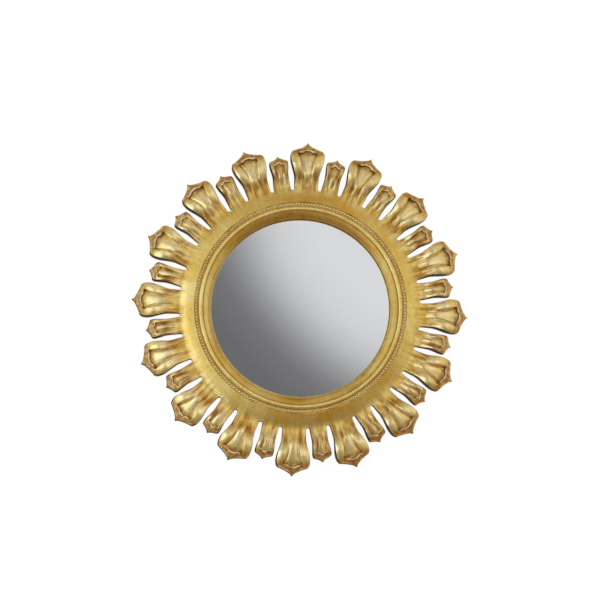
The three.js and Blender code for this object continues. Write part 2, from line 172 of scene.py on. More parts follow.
def vector_math(tree, operation, first, second=(0.0, 0.0, 0.0), output="Vector"):
    settings = {"operation": operation}
    return add_node(tree, "ShaderNodeVectorMath", settings, _0=first, _1=second).outputs[output]


def axes_of(tree, vector):
    return add_node(tree, "ShaderNodeSeparateXYZ", Vector=vector).outputs


def vector_of(tree, x=0.0, y=0.0, z=0.0):
    return add_node(tree, "ShaderNodeCombineXYZ", X=x, Y=y, Z=z).outputs[0]


def between(tree, value, low, high, to_low=0.0, to_high=1.0, shape="SMOOTHSTEP"):
    """Carries a value from one range into another, and stays within it."""
    return add_node(
        tree, "ShaderNodeMapRange", {"interpolation_type": shape},
        Value=value, From_Min=low, From_Max=high, To_Min=to_low, To_Max=to_high).outputs[0]


# %% Helpers for colour
def mix_colour(tree, factor, first, second):
    return add_node(
        tree, "ShaderNodeMix", {"data_type": "RGBA"}, _0=factor, _6=first, _7=second).outputs[2]


def ramp_of(tree, factor, stops):
    """A colour ramp with a colour at each of the places given."""
    node = add_node(tree, "ShaderNodeValToRGB", Fac=factor)
    elements = node.color_ramp.elements
    while len(elements) < len(stops):
        elements.new(0.5)
    for element, (place, colour) in zip(elements, stops):
        element.position = place
        element.color = colour
    return node.outputs[0]


# %% [markdown]
# ## Studio light
#
# A mirror and a gilded frame show the room more than themselves. In the photograph the glass
# holds one soft sweep from pale upper right to dark lower left. That is a room tone, so the world
# carries it for the directions that the glass can see. The gilding also looks far to the sides.
# There the room has a ring of its own tones, bright on the left and amber above and below, and a
# soft box stands on each side.

# %% World
SWEEP_TOWARDS = (1.0, -0.8, 1.0)  # the sweep's pale end lies to the right, in front and up
SWEEP_SPAN = (0.045, 1.645)
SWEEP_GREYS = [
    (0.0, 0.154), (0.22, 0.19), (0.32, 0.245), (0.425, 0.346), (0.6, 0.573), (0.7, 0.675),
    (0.86, 0.746)]
GLASS_SEES = (-0.66, -0.55)  # how far round to the sides, as the direction's Y
LEFT_TONE = (0.46, 0.53, 0.58, 1)
ROOM_RING = [
    LEFT_TONE, (0.92, 0.88, 0.80, 1),  # left, lower left
    (0.32, 0.12, 0.04, 1), (0.44, 0.24, 0.08, 1),  # below, lower right
    (0.56, 0.58, 0.50, 1), (0.78, 0.70, 0.50, 1),  # right, upper right
    (0.40, 0.235, 0.065, 1), (0.84, 0.86, 0.80, 1),  # above, upper left
    LEFT_TONE]
WHITE = (1, 1, 1, 1)


def studio_world():
    world = bpy.data.worlds.new("studio")
    world.use_nodes = True
    tree = world.node_tree
    tree.nodes.clear()
    direction = add_node(tree, "ShaderNodeTexCoord").outputs["Generated"]
    axes = axes_of(tree, direction)

    sweep = vector_math(tree, "DOT_PRODUCT", direction, SWEEP_TOWARDS, "Value")
    sweep = between(tree, sweep, *SWEEP_SPAN, shape="LINEAR")
    tone = ramp_of(
        tree, sweep, [(place, (grey, grey, grey * 1.01, 1)) for place, grey in SWEEP_GREYS])

    # Past the directions that the glass can show, each side of the room has its own tone.
    aside = between(tree, axes["Y"], *GLASS_SEES)
    turn = math_node(tree, "ARCTAN2", axes["Z"], axes["X"])
    turn = math_node(tree, "MULTIPLY_ADD", turn, 0.5 / math.pi, 0.5)
    steps = len(ROOM_RING) - 1
    ring = ramp_of(tree, turn, [(i / steps, colour) for i, colour in enumerate(ROOM_RING)])
    room = mix_colour(tree, aside, tone, ring)

    # The white backdrop: seen by the camera, and by metal and glass on the wall's side.
    rays = add_node(tree, "ShaderNodeLightPath").outputs
    behind = math_node(tree, "GREATER_THAN", axes["Y"], 0.0)
    mirrored = math_node(tree, "MAXIMUM", rays["Is Glossy Ray"], rays["Is Transmission Ray"])
    mirrored = math_node(tree, "MULTIPLY", mirrored, behind)
    shown = math_node(tree, "MAXIMUM", rays["Is Camera Ray"], mirrored)
    colour = mix_colour(tree, shown, room, WHITE)
    background = add_node(tree, "ShaderNodeBackground", Color=colour, Strength=1.0)
    add_node(tree, "ShaderNodeOutputWorld", Surface=background.outputs[0])
    scene.world = world


studio_world()
scene.view_settings.view_transform = "Standard"
print("world:", scene.world.name)


# %% Soft boxes
def soft_box(name, azimuth, elevation, distance, width, height, power, colour=(1, 1, 1)):
    """An area lamp that looks at the mirror."""
    data = bpy.data.lights.new(name, "AREA")
    data.shape = "RECTANGLE"
    data.size, data.size_y = width, height
    data.energy = power
    data.color = colour
    lamp = bpy.data.objects.new(name, data)
    away = way_out(azimuth, elevation)
    lamp.location = sight_centre + away * distance
    lamp.rotation_euler = away.to_track_quat("Z", "Y").to_euler()
    scene.collection.objects.link(lamp)
    return lamp


soft_box("key_left", azimuth=-64, elevation=8, distance=3.0, width=1.8, height=2.8, power=4)
soft_box("fill_right", azimuth=66, elevation=8, distance=3.0, width=1.6, height=2.4, power=4.5)
front_left = soft_box(
    "front_left", azimuth=-38, elevation=-4, distance=3.0, width=1.8, height=2.2, power=27,
    colour=(0.86, 0.94, 1.0))
front_right = soft_box(
    "front_right", azimuth=16, elevation=2, distance=3.2, width=1.8, height=1.8, power=8,
    colour=(1.0, 0.86, 0.48))

# %% [markdown]
# ## Wall and floor
#
# The mirror hangs on a pale wall. The wall is a stage: it takes the mirror's soft shadow, is
# there for the camera and for reflections, and lets other light through, so the back of the
# frame can still be looked at from behind.

# %% Stage
WALL_GAP = 0.002  # behind the bumpers, so that they don't share a plane
WALL_HALF, WALL_TOP = 2.0, 1.6
FLOOR_HEIGHT = -1.5
FLOOR_HALF, FLOOR_FRONT, FLOOR_BACK = 1.2, -0.45, 0.6


def stage_plane(name, corners, material):
    mesh = bpy.data.meshes.new(name)
    mesh.from_pydata(corners, [], [(0, 1, 2, 3)])
    mesh.materials.append(material)
    plane = bpy.data.objects.new(name, mesh)
    scene.collection.objects.link(plane)
    return plane


def wall_material():
    material = bpy.data.materials.new("white_wall")
    material.use_nodes = True
    tree = material.node_tree
    tree.nodes.clear()
    paint = add_node(tree, "ShaderNodeBsdfDiffuse", Color=(0.85, 0.85, 0.86, 1)).outputs[0]
    white = add_node(tree, "ShaderNodeEmission", Color=WHITE, Strength=1.0).outputs[0]
    lit = add_node(tree, "ShaderNodeMixShader", _0=0.35, _1=white, _2=paint).outputs[0]
    glow = add_node(tree, "ShaderNodeEmission", Color=WHITE, Strength=0.27).outputs[0]
    lit = add_node(tree, "ShaderNodeAddShader", _0=lit, _1=glow).outputs[0]
    rays = add_node(tree, "ShaderNodeLightPath").outputs
    seen = math_node(tree, "MAXIMUM", rays["Is Camera Ray"], rays["Is Glossy Ray"])
    seen = math_node(tree, "MAXIMUM", seen, rays["Is Transmission Ray"])
    facing_away = add_node(tree, "ShaderNodeNewGeometry").outputs["Backfacing"]
    shown = math_node(tree, "SUBTRACT", seen, facing_away, clamp=True)
    clear = add_node(tree, "ShaderNodeBsdfTransparent").outputs[0]
    surface = add_node(tree, "ShaderNodeMixShader", _0=shown, _1=clear, _2=lit).outputs[0]
    add_node(tree, "ShaderNodeOutputMaterial", Surface=surface)
    return material


def new_material(name):
    material = bpy.data.materials.new(name)
    material.use_nodes = True
    return material, material.node_tree, material.node_tree.nodes["Principled BSDF"]


floor_paint, floor_tree, floor_shader = new_material("pale_floor")
plug(floor_tree, floor_shader, Base_Color=(0.82, 0.81, 0.79, 1), Roughness=0.7)
wall = stage_plane(
    "wall", [(-WALL_HALF, WALL_GAP, FLOOR_HEIGHT), (WALL_HALF, WALL_GAP, FLOOR_HEIGHT),
             (WALL_HALF, WALL_GAP, WALL_TOP), (-WALL_HALF, WALL_GAP, WALL_TOP)], wall_material())
stage_plane(
    "floor", [(-FLOOR_HALF, FLOOR_FRONT, FLOOR_HEIGHT), (FLOOR_HALF, FLOOR_FRONT, FLOOR_HEIGHT),
              (FLOOR_HALF, FLOOR_BACK, FLOOR_HEIGHT), (-FLOOR_HALF, FLOOR_BACK, FLOOR_HEIGHT)],
    floor_paint)
print("wall faces", tuple(round(c, 1) for c in wall.data.polygons[0].normal))

# %% [markdown]
# ## Gilding
#
# Gold leaf is laid over red-brown bole on gesso. Burnished leaf is a true metal surface with fine
# streaks along the carving. Brown glaze stays in the valleys and over the waists, and the bole shows
# through on the outer edges, where hands and cloths have worn the leaf. Light and shade are also
# painted into the colour: paler leaf as a painted highlight on the crests and the astragal, a white
# painted glint on each pearl, and painted shade in the cut lines, the scoops' ends, the quirks, the
# cove by the glass, between the beads and on the petals' edges that look left and down. So the
# recipe layers leaf, glaze, bole and painted light, and masks say where each belongs. On the petals
# the masks are drawn into the mesh, and on the turned pieces they are worked out from the radius.


# %% Shader helpers
def noise(tree, vector, scale, detail=3.0, roughness=0.55, distortion=0.0):
    return add_node(
        tree, "ShaderNodeTexNoise", Vector=vector, Scale=scale, Detail=detail,
        Roughness=roughness, Distortion=distortion).outputs[0]


def stretched(tree, vector, scale):
    return vector_math(tree, "MULTIPLY", vector, scale)


def attribute(tree, name):
    return add_node(tree, "ShaderNodeAttribute", {"attribute_name": name}).outputs["Fac"]


def object_place(tree):
    return add_node(tree, "ShaderNodeTexCoord").outputs["Object"]


def bump(tree, height, strength, distance, **under):
    """A bumped normal. under may hold the Normal that this one goes over."""
    return add_node(
        tree, "ShaderNodeBump", Height=height, Strength=strength, Distance=distance,
        **under).outputs[0]


def everywhere(amount):
    return lambda tree: math_node(tree, "ADD", amount, 0.0)


nowhere = everywhere(0.0)

# %% Gold leaf
LEAF = (0.80, 0.54, 0.09, 1)
PALE_LEAF = (0.88, 0.70, 0.23, 1)
HIGHLIGHT_LEAF = (0.93, 0.81, 0.48, 1)
GLINT_WHITE = (0.97, 0.90, 0.80, 1)
UMBER = (0.40, 0.175, 0.008, 1)
SHADE_UMBER = (0.13, 0.05, 0.008, 1)
BOLE = (0.36, 0.135, 0.006, 1)
EDGE_PAINT_AND_SHADE = (0.013, 0.008, 0.004, 1)
WORN_PAINT = (0.05, 0.027, 0.012, 1)
DARK_WOOD = (0.13, 0.075, 0.035, 1)
PALE_WOOD = (0.24, 0.15, 0.08, 1)


def leaf_noises(tree, grain):
    """The patterns that the layers share, from broad patches to fine crinkles."""
    place = object_place(tree)
    return SimpleNamespace(
        fine=noise(tree, grain, 1.0, detail=4.0, roughness=0.6),
        broad=noise(tree, grain, 0.25, detail=3.0, roughness=0.55),
        clouds=noise(tree, place, 16.0, detail=4.0, roughness=0.6),
        specks=noise(tree, place, 110.0, detail=5.0, roughness=0.68),
        crinkle=noise(tree, place, 150.0, detail=4.0, roughness=0.6))


def glaze_and_shade_amount(tree, n, m):
    """Patina and painted shade in broad patches, patina in some streaks and as a fine mottle."""
    glaze_and_shade = math_node(tree, "MULTIPLY_ADD", between(tree, n.broad, 0.60, 0.40), 0.85, 0.15)
    glaze_and_shade = math_node(tree, "MULTIPLY", glaze_and_shade, m.patina)
    streaked = math_node(tree, "MULTIPLY", between(tree, n.fine, 0.44, 0.30), m.streaks)
    glaze_and_shade = math_node(tree, "MULTIPLY_ADD", streaked, 0.2, glaze_and_shade)
    mottled = math_node(tree, "MULTIPLY", between(tree, n.specks, 0.46, 0.66), 0.22)
    return math_node(tree, "ADD", glaze_and_shade, mottled, clamp=True)


print("leaf:", LEAF[:3], "to", PALE_LEAF[:3])

# %% The layers together
MASKS = ("streaks", "lines", "patina", "bole", "edge", "rub", "gesso", "raw")


def gilding(name, grain, streak_depth, **masks):
    """Leaf over bole. grain is a vector that runs slowly along the burnishing.

    The masks are how much of the tool's streaks shows, painted shade in the cut lines, brown
    patina over the lower parts with painted shade in the hollows, bole where the leaf is thin, dark
    paint on the sides with painted shade beside it, paler leaf as a painted highlight, a white
    painted glint, and raw wood. One left out is nowhere.
    """
    material, tree, shader = new_material(name)
    m = SimpleNamespace(**{mask: masks.get(mask, nowhere)(tree) for mask in MASKS})
    n = leaf_noises(tree, grain(tree))

    # Painted highlight: paler leaf where the mask says, in broad patches.
    bright = math_node(tree, "MULTIPLY_ADD", between(tree, n.broad, 0.38, 0.56), 0.55, 0.45)
    bright = math_node(tree, "MULTIPLY", bright, m.rub)
    glaze_and_shade = glaze_and_shade_amount(tree, n, m)
    thin = math_node(tree, "MULTIPLY_ADD", between(tree, n.specks, 0.40, 0.58), 0.6, 0.4)
    thin = math_node(tree, "MULTIPLY", thin, m.bole)
    # Painted glint: near-white on the pearls, broken by specks.
    gesso = math_node(tree, "MULTIPLY", m.gesso, between(tree, n.specks, 0.62, 0.48, 0.45, 1.0))
    # Dark paint on the sides, and the painted shade that the edge mask widens it into.
    paint = mix_colour(tree, between(tree, n.specks, 0.44, 0.66), EDGE_PAINT_AND_SHADE, WORN_PAINT)
    wood = mix_colour(tree, between(tree, n.broad, 0.30, 0.70), DARK_WOOD, PALE_WOOD)
    colour = mix_colour(tree, between(tree, n.clouds, 0.35, 0.68), LEAF, PALE_LEAF)
    for amount, layer in (
            (bright, HIGHLIGHT_LEAF), (glaze_and_shade, UMBER), (thin, BOLE), (m.lines, SHADE_UMBER),
            (gesso, GLINT_WHITE), (m.edge, paint), (m.raw, wood)):
        colour = mix_colour(tree, amount, colour, layer)

    dull = math_node(tree, "MAXIMUM", math_node(tree, "MAXIMUM", m.lines, m.edge),
                     math_node(tree, "MULTIPLY_ADD", thin, 0.2, gesso))
    dull = math_node(tree, "MAXIMUM", dull, m.raw, clamp=True)
    metal = math_node(tree, "MULTIPLY_ADD", dull, -0.75, 0.92)
    rough = between(tree, n.fine, 0.30, 0.70, 0.36, 0.48)
    for amount, change in ((dull, 0.25), (glaze_and_shade, 0.12), (m.rub, -0.08)):
        rough = math_node(tree, "MULTIPLY_ADD", amount, change, rough)
    # A thin coat of size and wax gives the white glints that bare gold wouldn't.
    coat = math_node(tree, "MULTIPLY_ADD", glaze_and_shade, -0.6, math_node(tree, "SUBTRACT", 1.0, dull))
    coat = math_node(tree, "MULTIPLY", coat, 0.6, clamp=True)

    ridges = bump(tree, math_node(tree, "MULTIPLY", n.fine, m.streaks), 0.6, streak_depth)
    skin = bump(tree, n.crinkle, 0.4, 0.00025, Normal=ridges)
    plug(tree, shader, Base_Color=colour, Metallic=metal, Roughness=rough, Normal=skin,
         Coat_Weight=coat, Coat_Roughness=0.2, Coat_IOR=1.8)
    return material


# %% Grain: how the streaks run
def along_petal(tree):
    """The petal's own map, long streaks from root to tip, shuffled from petal to petal."""
    own = add_node(tree, "ShaderNodeUVMap", {"uv_map": "grain"}).outputs[0]
    own = stretched(tree, own, (420.0, 60.0, 1.0))
    return vector_math(tree, "ADD", own, vector_of(tree, z=attribute(tree, "petal_shuffle")))


def off_axis(tree):
    """The vector from the mirror's axis to a point, its length, and the point's Y."""
    axes = axes_of(tree, object_place(tree))
    flat = vector_of(tree, x=axes["X"], z=axes["Z"])
    return flat, vector_math(tree, "LENGTH", flat, output="Value"), axes["Y"]


def round_the_axis(tree):
    """Turning lines: the noise changes fast across the profile and slowly round the ring."""
    flat, radius, rise = off_axis(tree)
    fast = math_node(tree, "MULTIPLY", math_node(tree, "ADD", radius, rise), 500.0)
    slow = stretched(tree, vector_math(tree, "NORMALIZE", flat), (2.2, 1.0, 2.2))
    return vector_math(tree, "ADD", slow, vector_of(tree, y=fast))


# %% Masks: where glaze, paint, painted shade and painted highlights go
QUIRKS = [(COVE_RADIUS + 0.8, 2.0), ((ASTRAGAL[1] + LEDGE_START) / 2 + 0.4, 2.4)]
BESIDE_GLASS = (SIGHT_RADIUS + 4.5, 4.5)  # radius and half width, as for the quirks
COVE_HOLLOW = (SIGHT_RADIUS + 7, 15.0)
ASTRAGAL_CREST = (sum(ASTRAGAL) / 2, 3.0)
LEFT_AND_DOWN = (-0.8, 0.0, -0.6)


def ring_band(tree, radius, width):
    """How close a point is to a circle round the axis, from 0 to 1."""
    _, out, _ = off_axis(tree)
    gap = math_node(tree, "ABSOLUTE", math_node(tree, "SUBTRACT", out, radius * MM))
    return between(tree, gap, width * MM, 0.0)


def quirk_and_glass_shade(tree):
    # Painted shade in the two quirks and in a ring beside the glass.
    first, second, third = (ring_band(tree, *band) for band in (*QUIRKS, BESIDE_GLASS))
    lines = math_node(tree, "MAXIMUM", math_node(tree, "MAXIMUM", first, second), third)
    return math_node(tree, "MULTIPLY", lines, 0.32)


def cove_shade_and_patina(tree):
    # Painted shade in the cove next to the glass, over a little patina everywhere.
    return math_node(tree, "MULTIPLY_ADD", ring_band(tree, *COVE_HOLLOW), 0.5, 0.15)


def astragal_highlight(tree):
    # Painted highlight: paler leaf along the astragal's crest.
    return math_node(tree, "MULTIPLY", ring_band(tree, *ASTRAGAL_CREST), 0.4)


def shade_between_beads(tree):
    """Painted shade, low down between the beads."""
    _, _, rise = off_axis(tree)
    seat, shoulder = -(LEDGE_DEPTH + 0.4) * MM, -(LEDGE_DEPTH + 3.6) * MM
    return between(tree, rise, shoulder, seat, 0.0, 0.45)


def edge_paint_and_shade(tree):
    """Dark side paint, widened onto the face as painted shade where the edge looks left and down."""
    normal = add_node(tree, "ShaderNodeNewGeometry").outputs["Normal"]
    away = vector_math(tree, "DOT_PRODUCT", normal, LEFT_AND_DOWN, "Value")
    least = between(tree, away, 0.05, 0.5, 0.86, 0.25)
    past_least = math_node(tree, "SUBTRACT", attribute(tree, "edge"), least)
    return math_node(tree, "MULTIPLY", past_least, 8.0, clamp=True)


def carved(name):
    return lambda tree: attribute(tree, name)


print("brown rings at radii:", [radius for radius, _ in (*QUIRKS, BESIDE_GLASS)])

# %% The three gilded finishes
CARVED_STREAKS, TURNED_STREAKS = 0.00022, 0.0001  # metres deep

drawn_masks = {mask: carved(mask) for mask in MASKS if mask != "edge"}
petal_gilding = gilding(
    "petal_gilding", along_petal, CARVED_STREAKS, edge=edge_paint_and_shade, **drawn_masks)
moulding_gilding = gilding(
    "moulding_gilding", round_the_axis, TURNED_STREAKS, streaks=everywhere(1.0),
    lines=quirk_and_glass_shade, patina=cove_shade_and_patina, rub=astragal_highlight)
# Beads: painted shade low down between them, paler leaf all over, a little patina.
bead_gilding = gilding(
    "bead_gilding", round_the_axis, TURNED_STREAKS, lines=shade_between_beads, patina=everywhere(0.1),
    rub=everywhere(1.0))
print("gilding:", [m.name for m in (petal_gilding, moulding_gilding, bead_gilding)])

# %% [markdown]
# ## The other finishes
#
# The glass is silvered on its back, so what shows is an almost perfect mirror with the faintest
# haze. The back of the frame is working wood and hardware: limewood with its grain, hardboard,
# plated steel, brass and rubber.


# %% Glass, woods, metals, felt and rubber
def silvered_glass():
    material, tree, shader = new_material("silvered_glass")
    haze = noise(tree, object_place(tree), 6.0, detail=2.0)
    plug(tree, shader, Metallic=1.0,
         Base_Color=mix_colour(tree, haze, (0.93, 0.935, 0.945, 1), (0.90, 0.91, 0.93, 1)),
         Roughness=between(tree, haze, 0.3, 0.8, 0.008, 0.02))
    return material


def timber(name, light, dark):
    """Long grain up the board, with fine pores."""
    material, tree, shader = new_material(name)
    place = stretched(tree, object_place(tree), (1.0, 1.0, 5.0))
    rings = noise(tree, place, 9.0, detail=6.0, roughness=0.6, distortion=0.6)
    pores = noise(tree, stretched(tree, place, (6.0, 6.0, 6.0)), 30.0, detail=3.0)
    plug(tree, shader,
         Base_Color=mix_colour(tree, between(tree, rings, 0.32, 0.68), dark, light),
         Roughness=between(tree, pores, 0.3, 0.7, 0.54, 0.74),
         Normal=bump(tree, pores, 0.3, 0.0003))
    return material


def plated(name, bright, dull):
    """Metal with a little wear and fine scratches."""
    material, tree, shader = new_material(name)
    place = object_place(tree)
    wear = noise(tree, place, 260.0, detail=4.0)
    scratch = noise(tree, stretched(tree, place, (900.0, 900.0, 90.0)), 1.0, detail=2.0)
    plug(tree, shader, Metallic=1.0,
         Base_Color=mix_colour(tree, between(tree, wear, 0.35, 0.7), bright, dull),
         Roughness=between(tree, wear, 0.3, 0.7, 0.24, 0.44),
         Normal=bump(tree, scratch, 0.25, 0.00008))
    return material


def matt(name, light, dark, scale, depth):
    """A dull nap or press grain over soft blotches."""
    material, tree, shader = new_material(name)
    place = object_place(tree)
    nap = noise(tree, place, scale, detail=5.0, roughness=0.7)
    blotches = between(tree, noise(tree, place, scale * 0.02, detail=4.0), 0.35, 0.65)
    tone = math_node(tree, "MULTIPLY_ADD", blotches, 0.5, math_node(tree, "MULTIPLY", nap, 0.6))
    plug(tree, shader, Roughness=0.9, Base_Color=mix_colour(tree, tone, dark, light),
         Normal=bump(tree, nap, 0.5, depth))
    return material


mirror_finish = silvered_glass()
core_wood = timber("core_limewood", (0.46, 0.31, 0.17, 1), (0.27, 0.165, 0.08, 1))
spacer_wood = timber("spacer_limewood", (0.40, 0.27, 0.15, 1), (0.24, 0.15, 0.07, 1))
hardboard = matt("hardboard", (0.27, 0.15, 0.075, 1), (0.13, 0.068, 0.033, 1), 400.0, 0.0003)
plated_steel = plated("plated_steel", (0.60, 0.60, 0.61, 1), (0.42, 0.42, 0.43, 1))
brass = plated("brass", (0.66, 0.47, 0.18, 1), (0.42, 0.28, 0.10, 1))
felt_finish = matt("felt", (0.035, 0.032, 0.03, 1), (0.015, 0.014, 0.013, 1), 1400.0, 0.0004)
rubber = matt("bumper_rubber", (0.04, 0.038, 0.034, 1), (0.022, 0.02, 0.018, 1), 900.0, 0.0001)
print("finishes so far:", [material.name for material in bpy.data.materials])

# %% [markdown]
# ## Running a Geometry Nodes tree
#
# A tree is only a recipe. A source object carries it as a modifier, its named inputs are set by
# the sockets' identifiers, and the evaluated result is copied out as a plain mesh. After that
# the source and its modifier are gone, so nothing in the scene depends on them.


# %% Helpers for trees
def new_tree(name, **inputs):
    """A geometry tree with a Geometry input and output and the named inputs."""
    tree = bpy.data.node_groups.new(name, "GeometryNodeTree")
    face = tree.interface
    face.new_socket("Geometry", in_out="OUTPUT", socket_type="NodeSocketGeometry")
    face.new_socket("Geometry", in_out="INPUT", socket_type="NodeSocketGeometry")
    for label, kind in inputs.items():
        face.new_socket(label.replace("_", " "), in_out="INPUT", socket_type="NodeSocket" + kind)
    given = tree.nodes.new("NodeGroupInput").outputs
    return tree, given


def random_number(tree, low, high, seed):
    """A number for each point or instance."""
    node = add_node(
        tree, "FunctionNodeRandomValue", {"data_type": "FLOAT"}, _2=low, _3=high, Seed=seed)
    return node.outputs[1]


def turned_by(tree, angle):
    """A turn about the mirror's axis."""
    euler = vector_of(tree, y=angle)
    return add_node(tree, "FunctionNodeEulerToRotation", Euler=euler).outputs[0]


def finish_tree(tree, given, geometry):
    """Every tree here ends the same way: real geometry, with its finish."""
    real = add_node(tree, "GeometryNodeRealizeInstances", Geometry=geometry).outputs[0]
    done = add_node(tree, "GeometryNodeSetMaterial", Geometry=real, Material=given["Finish"])
    add_node(tree, "NodeGroupOutput", Geometry=done.outputs[0])
    return tree


def new_object(name, mesh):
    piece = bpy.data.objects.new(name, mesh)
    scene.collection.objects.link(piece)
    return piece


def evaluated_mesh(piece):
    piece.update_tag()
    made = piece.evaluated_get(bpy.context.evaluated_depsgraph_get())
    return bpy.data.meshes.new_from_object(made)


def run_tree(tree, source, name, **values):
    """Evaluates the tree on the source and keeps the result as one plain mesh object."""
    sockets = {item.name: item.identifier for item in tree.interface.items_tree
               if item.item_type == "SOCKET" and item.in_out == "INPUT"}
    modifier = source.modifiers.new(tree.name, "NODES")
    modifier.node_group = tree
    for label, value in values.items():
        modifier[sockets[label.replace("_", " ")]] = value
    mesh = evaluated_mesh(source)
    mesh.name = name
    source.modifiers.remove(modifier)
    bpy.data.objects.remove(source)
    return new_object(name, mesh)


# %% Helpers for meshes
def plain_mesh(name, points, faces=(), edges=()):
    """A mesh from points in millimetres."""
    mesh = bpy.data.meshes.new(name)
    mesh.from_pydata([tuple(c * MM for c in point) for point in points], list(edges), list(faces))
    return mesh


def ring_points(rings, sides, x=0.0, z=0.0):
    """Rings of points about the Y direction, from [radius, y] pairs."""
    turns = [2 * math.pi * i / sides for i in range(sides)]
    return [(x + radius * math.cos(a), y, z + radius * math.sin(a))
            for radius, y in rings for a in turns]


def ring_faces(first, rings, sides):
    """The faces between rings of points that follow each other from the index first."""
    faces = []
    for low in range(first, first + (rings - 1) * sides, sides):
        for i in range(sides):
            n = (i + 1) % sides
            faces.append((low + i, low + sides + i, low + sides + n, low + n))
    return faces


def fan_faces(pole, first, sides):
    return [(pole, first + i, first + (i + 1) % sides) for i in range(sides)]


def face_outward(mesh):
    """Turns a closed mesh's faces to the outside by the sign of its volume."""
    mesh.calc_loop_triangles()
    points = np.array([v.co for v in mesh.vertices])
    corners = points[np.array([t.vertices for t in mesh.loop_triangles])]
    volume = np.einsum("ij,ij->", corners[:, 0], np.cross(corners[:, 1], corners[:, 2])) / 6
    if volume < 0:
        mesh.flip_normals()
    return abs(volume)


def smooth(mesh, sharp_angle):
    mesh.polygons.foreach_set("use_smooth", np.ones(len(mesh.polygons), bool))
    mesh.set_sharp_from_angle(angle=math.radians(sharp_angle))
    mesh.update()


def dress(piece, body, slot, *nodes):
    """Rides a finished piece on its body, in place of its CAD nodes."""
    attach(piece, body)
    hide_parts(*nodes)
    print(piece.name, "-", len(piece.data.polygons), "faces, for", len(nodes), "nodes")


# %% [markdown]
# ## The turned pieces
#
# A turner works a ring to a profile. Spinning each profile by hand would repeat the same loop six
# times, so one tree does it: it sweeps the profile round a circle. The same tree then makes the
# moulding, the glass, the core ring and the rings that hide behind them, each from its drawing.


# %% The turning tree
def turning_tree():
    tree, given = new_tree(
        "turned_round_the_axis", Swing_Radius="Float", Steps="Int", Finish="Material")
    profile = add_node(tree, "GeometryNodeMeshToCurve", Mesh=given["Geometry"]).outputs[0]
    circle = add_node(
        tree, "GeometryNodeCurvePrimitiveCircle",
        Resolution=given["Steps"], Radius=given["Swing Radius"]).outputs[0]
    swept = add_node(tree, "GeometryNodeCurveToMesh", Curve=circle, Profile_Curve=profile).outputs[0]
    welded = add_node(tree, "GeometryNodeMergeByDistance", Geometry=swept, Distance=1e-6).outputs[0]
    upright_ring = add_node(
        tree, "GeometryNodeTransform", Geometry=welded, Rotation=(-math.pi / 2, 0, 0)).outputs[0]
    return finish_tree(tree, given, upright_ring)


turning = turning_tree()
SWING_RADIUS = 100.0  # of the circle that carries the profile, less than any piece's


def turned_piece(name, profile, finish, steps=288, sharp_angle=40):
    """A piece from [radius, depth] pairs. A profile that starts on the axis ends there."""
    solid = profile[0][0] == 0
    points = [(radius - SWING_RADIUS, depth, 0) for radius, depth in profile]
    edges = [(i, i + 1) for i in range(len(points) - 1)]
    if not solid:
        edges.append((len(points) - 1, 0))
    source = new_object(name + "_profile", plain_mesh(name + "_profile", points, edges=edges))
    piece = run_tree(turning, source, name, Swing_Radius=SWING_RADIUS * MM, Steps=steps, Finish=finish)
    litres = face_outward(piece.data) * 1000
    smooth(piece.data, sharp_angle)
    print(name, round(litres, 3), "litres")
    return piece


# %% The sight moulding
NOSE = [(0.0, -1.4), (0.25, -0.6), (0.9, 0.1)]  # the lip's eased edge, out and forward of it
COVE_POINTS, ASTRAGAL_POINTS = 13, 15


def moulding_profile():
    """From the lip beside the glass: nose, cove, quirk, astragal, ledge, and the hidden back."""
    nose = [(SIGHT_RADIUS + out, SIGHT_DEPTH + forward) for out, forward in NOSE]
    width, height = COVE_RADIUS - SIGHT_RADIUS, COVE_DEPTH - SIGHT_DEPTH
    start = math.radians(COVE_START)
    end = 2 * math.atan2(height, width) - start
    swing = width / (math.sin(end) - math.sin(start))
    cove = [
        (SIGHT_RADIUS + swing * (math.sin(a) - math.sin(start)),
         SIGHT_DEPTH + swing * (math.cos(start) - math.cos(a)))
        for a in np.linspace(start, end, COVE_POINTS)[1:-1]
    ]
    quirk = [
        (COVE_RADIUS - 0.4, COVE_DEPTH - 0.3), (COVE_RADIUS, COVE_DEPTH),
        (COVE_RADIUS + 0.5, COVE_DEPTH - 0.4), (COVE_RADIUS + 0.8, QUIRK_DEPTH - 0.2),
        (ASTRAGAL[0] - 0.3, QUIRK_DEPTH - 0.2), (ASTRAGAL[0], QUIRK_DEPTH),
    ]
    middle, half = sum(ASTRAGAL) / 2, (ASTRAGAL[1] - ASTRAGAL[0]) / 2
    astragal = [
        (middle - half * math.cos(a), QUIRK_DEPTH + ASTRAGAL_HEIGHT * math.sin(a) ** 0.8)
        for a in np.linspace(0, math.pi, ASTRAGAL_POINTS)[1:-1]
    ]
    ledge = [
        (ASTRAGAL[1], QUIRK_DEPTH), (LEDGE_START - 0.4, LEDGE_DEPTH + 0.6),
        (LEDGE_START, LEDGE_DEPTH), (MOULDING_RADIUS, LEDGE_DEPTH),
    ]
    hidden = [
        (MOULDING_RADIUS, STAVE_DEPTH), (REBATE_RADIUS, STAVE_DEPTH), (REBATE_RADIUS, LIP_DEPTH),
        (SIGHT_RADIUS + 0.5, LIP_DEPTH), (SIGHT_RADIUS, LIP_DEPTH + 0.6),
    ]
    return nose + cove + quirk + astragal + ledge + hidden


moulding = turned_piece("sight_moulding_turned", moulding_profile(), moulding_gilding, steps=360)
dress(moulding, "frame", "moulding_gilding", "sight_moulding")


# %% The bulged glass
def glass_front(radius):
    """Depth of the glass's face, which is part of a sphere."""
    return CROWN_DEPTH - (BULGE_RADIUS - math.sqrt(BULGE_RADIUS ** 2 - radius ** 2))


def glass_back(radius):
    inner = BULGE_RADIUS - GLASS_THICKNESS
    return CROWN_DEPTH - GLASS_THICKNESS - (inner - math.sqrt(inner ** 2 - radius ** 2))


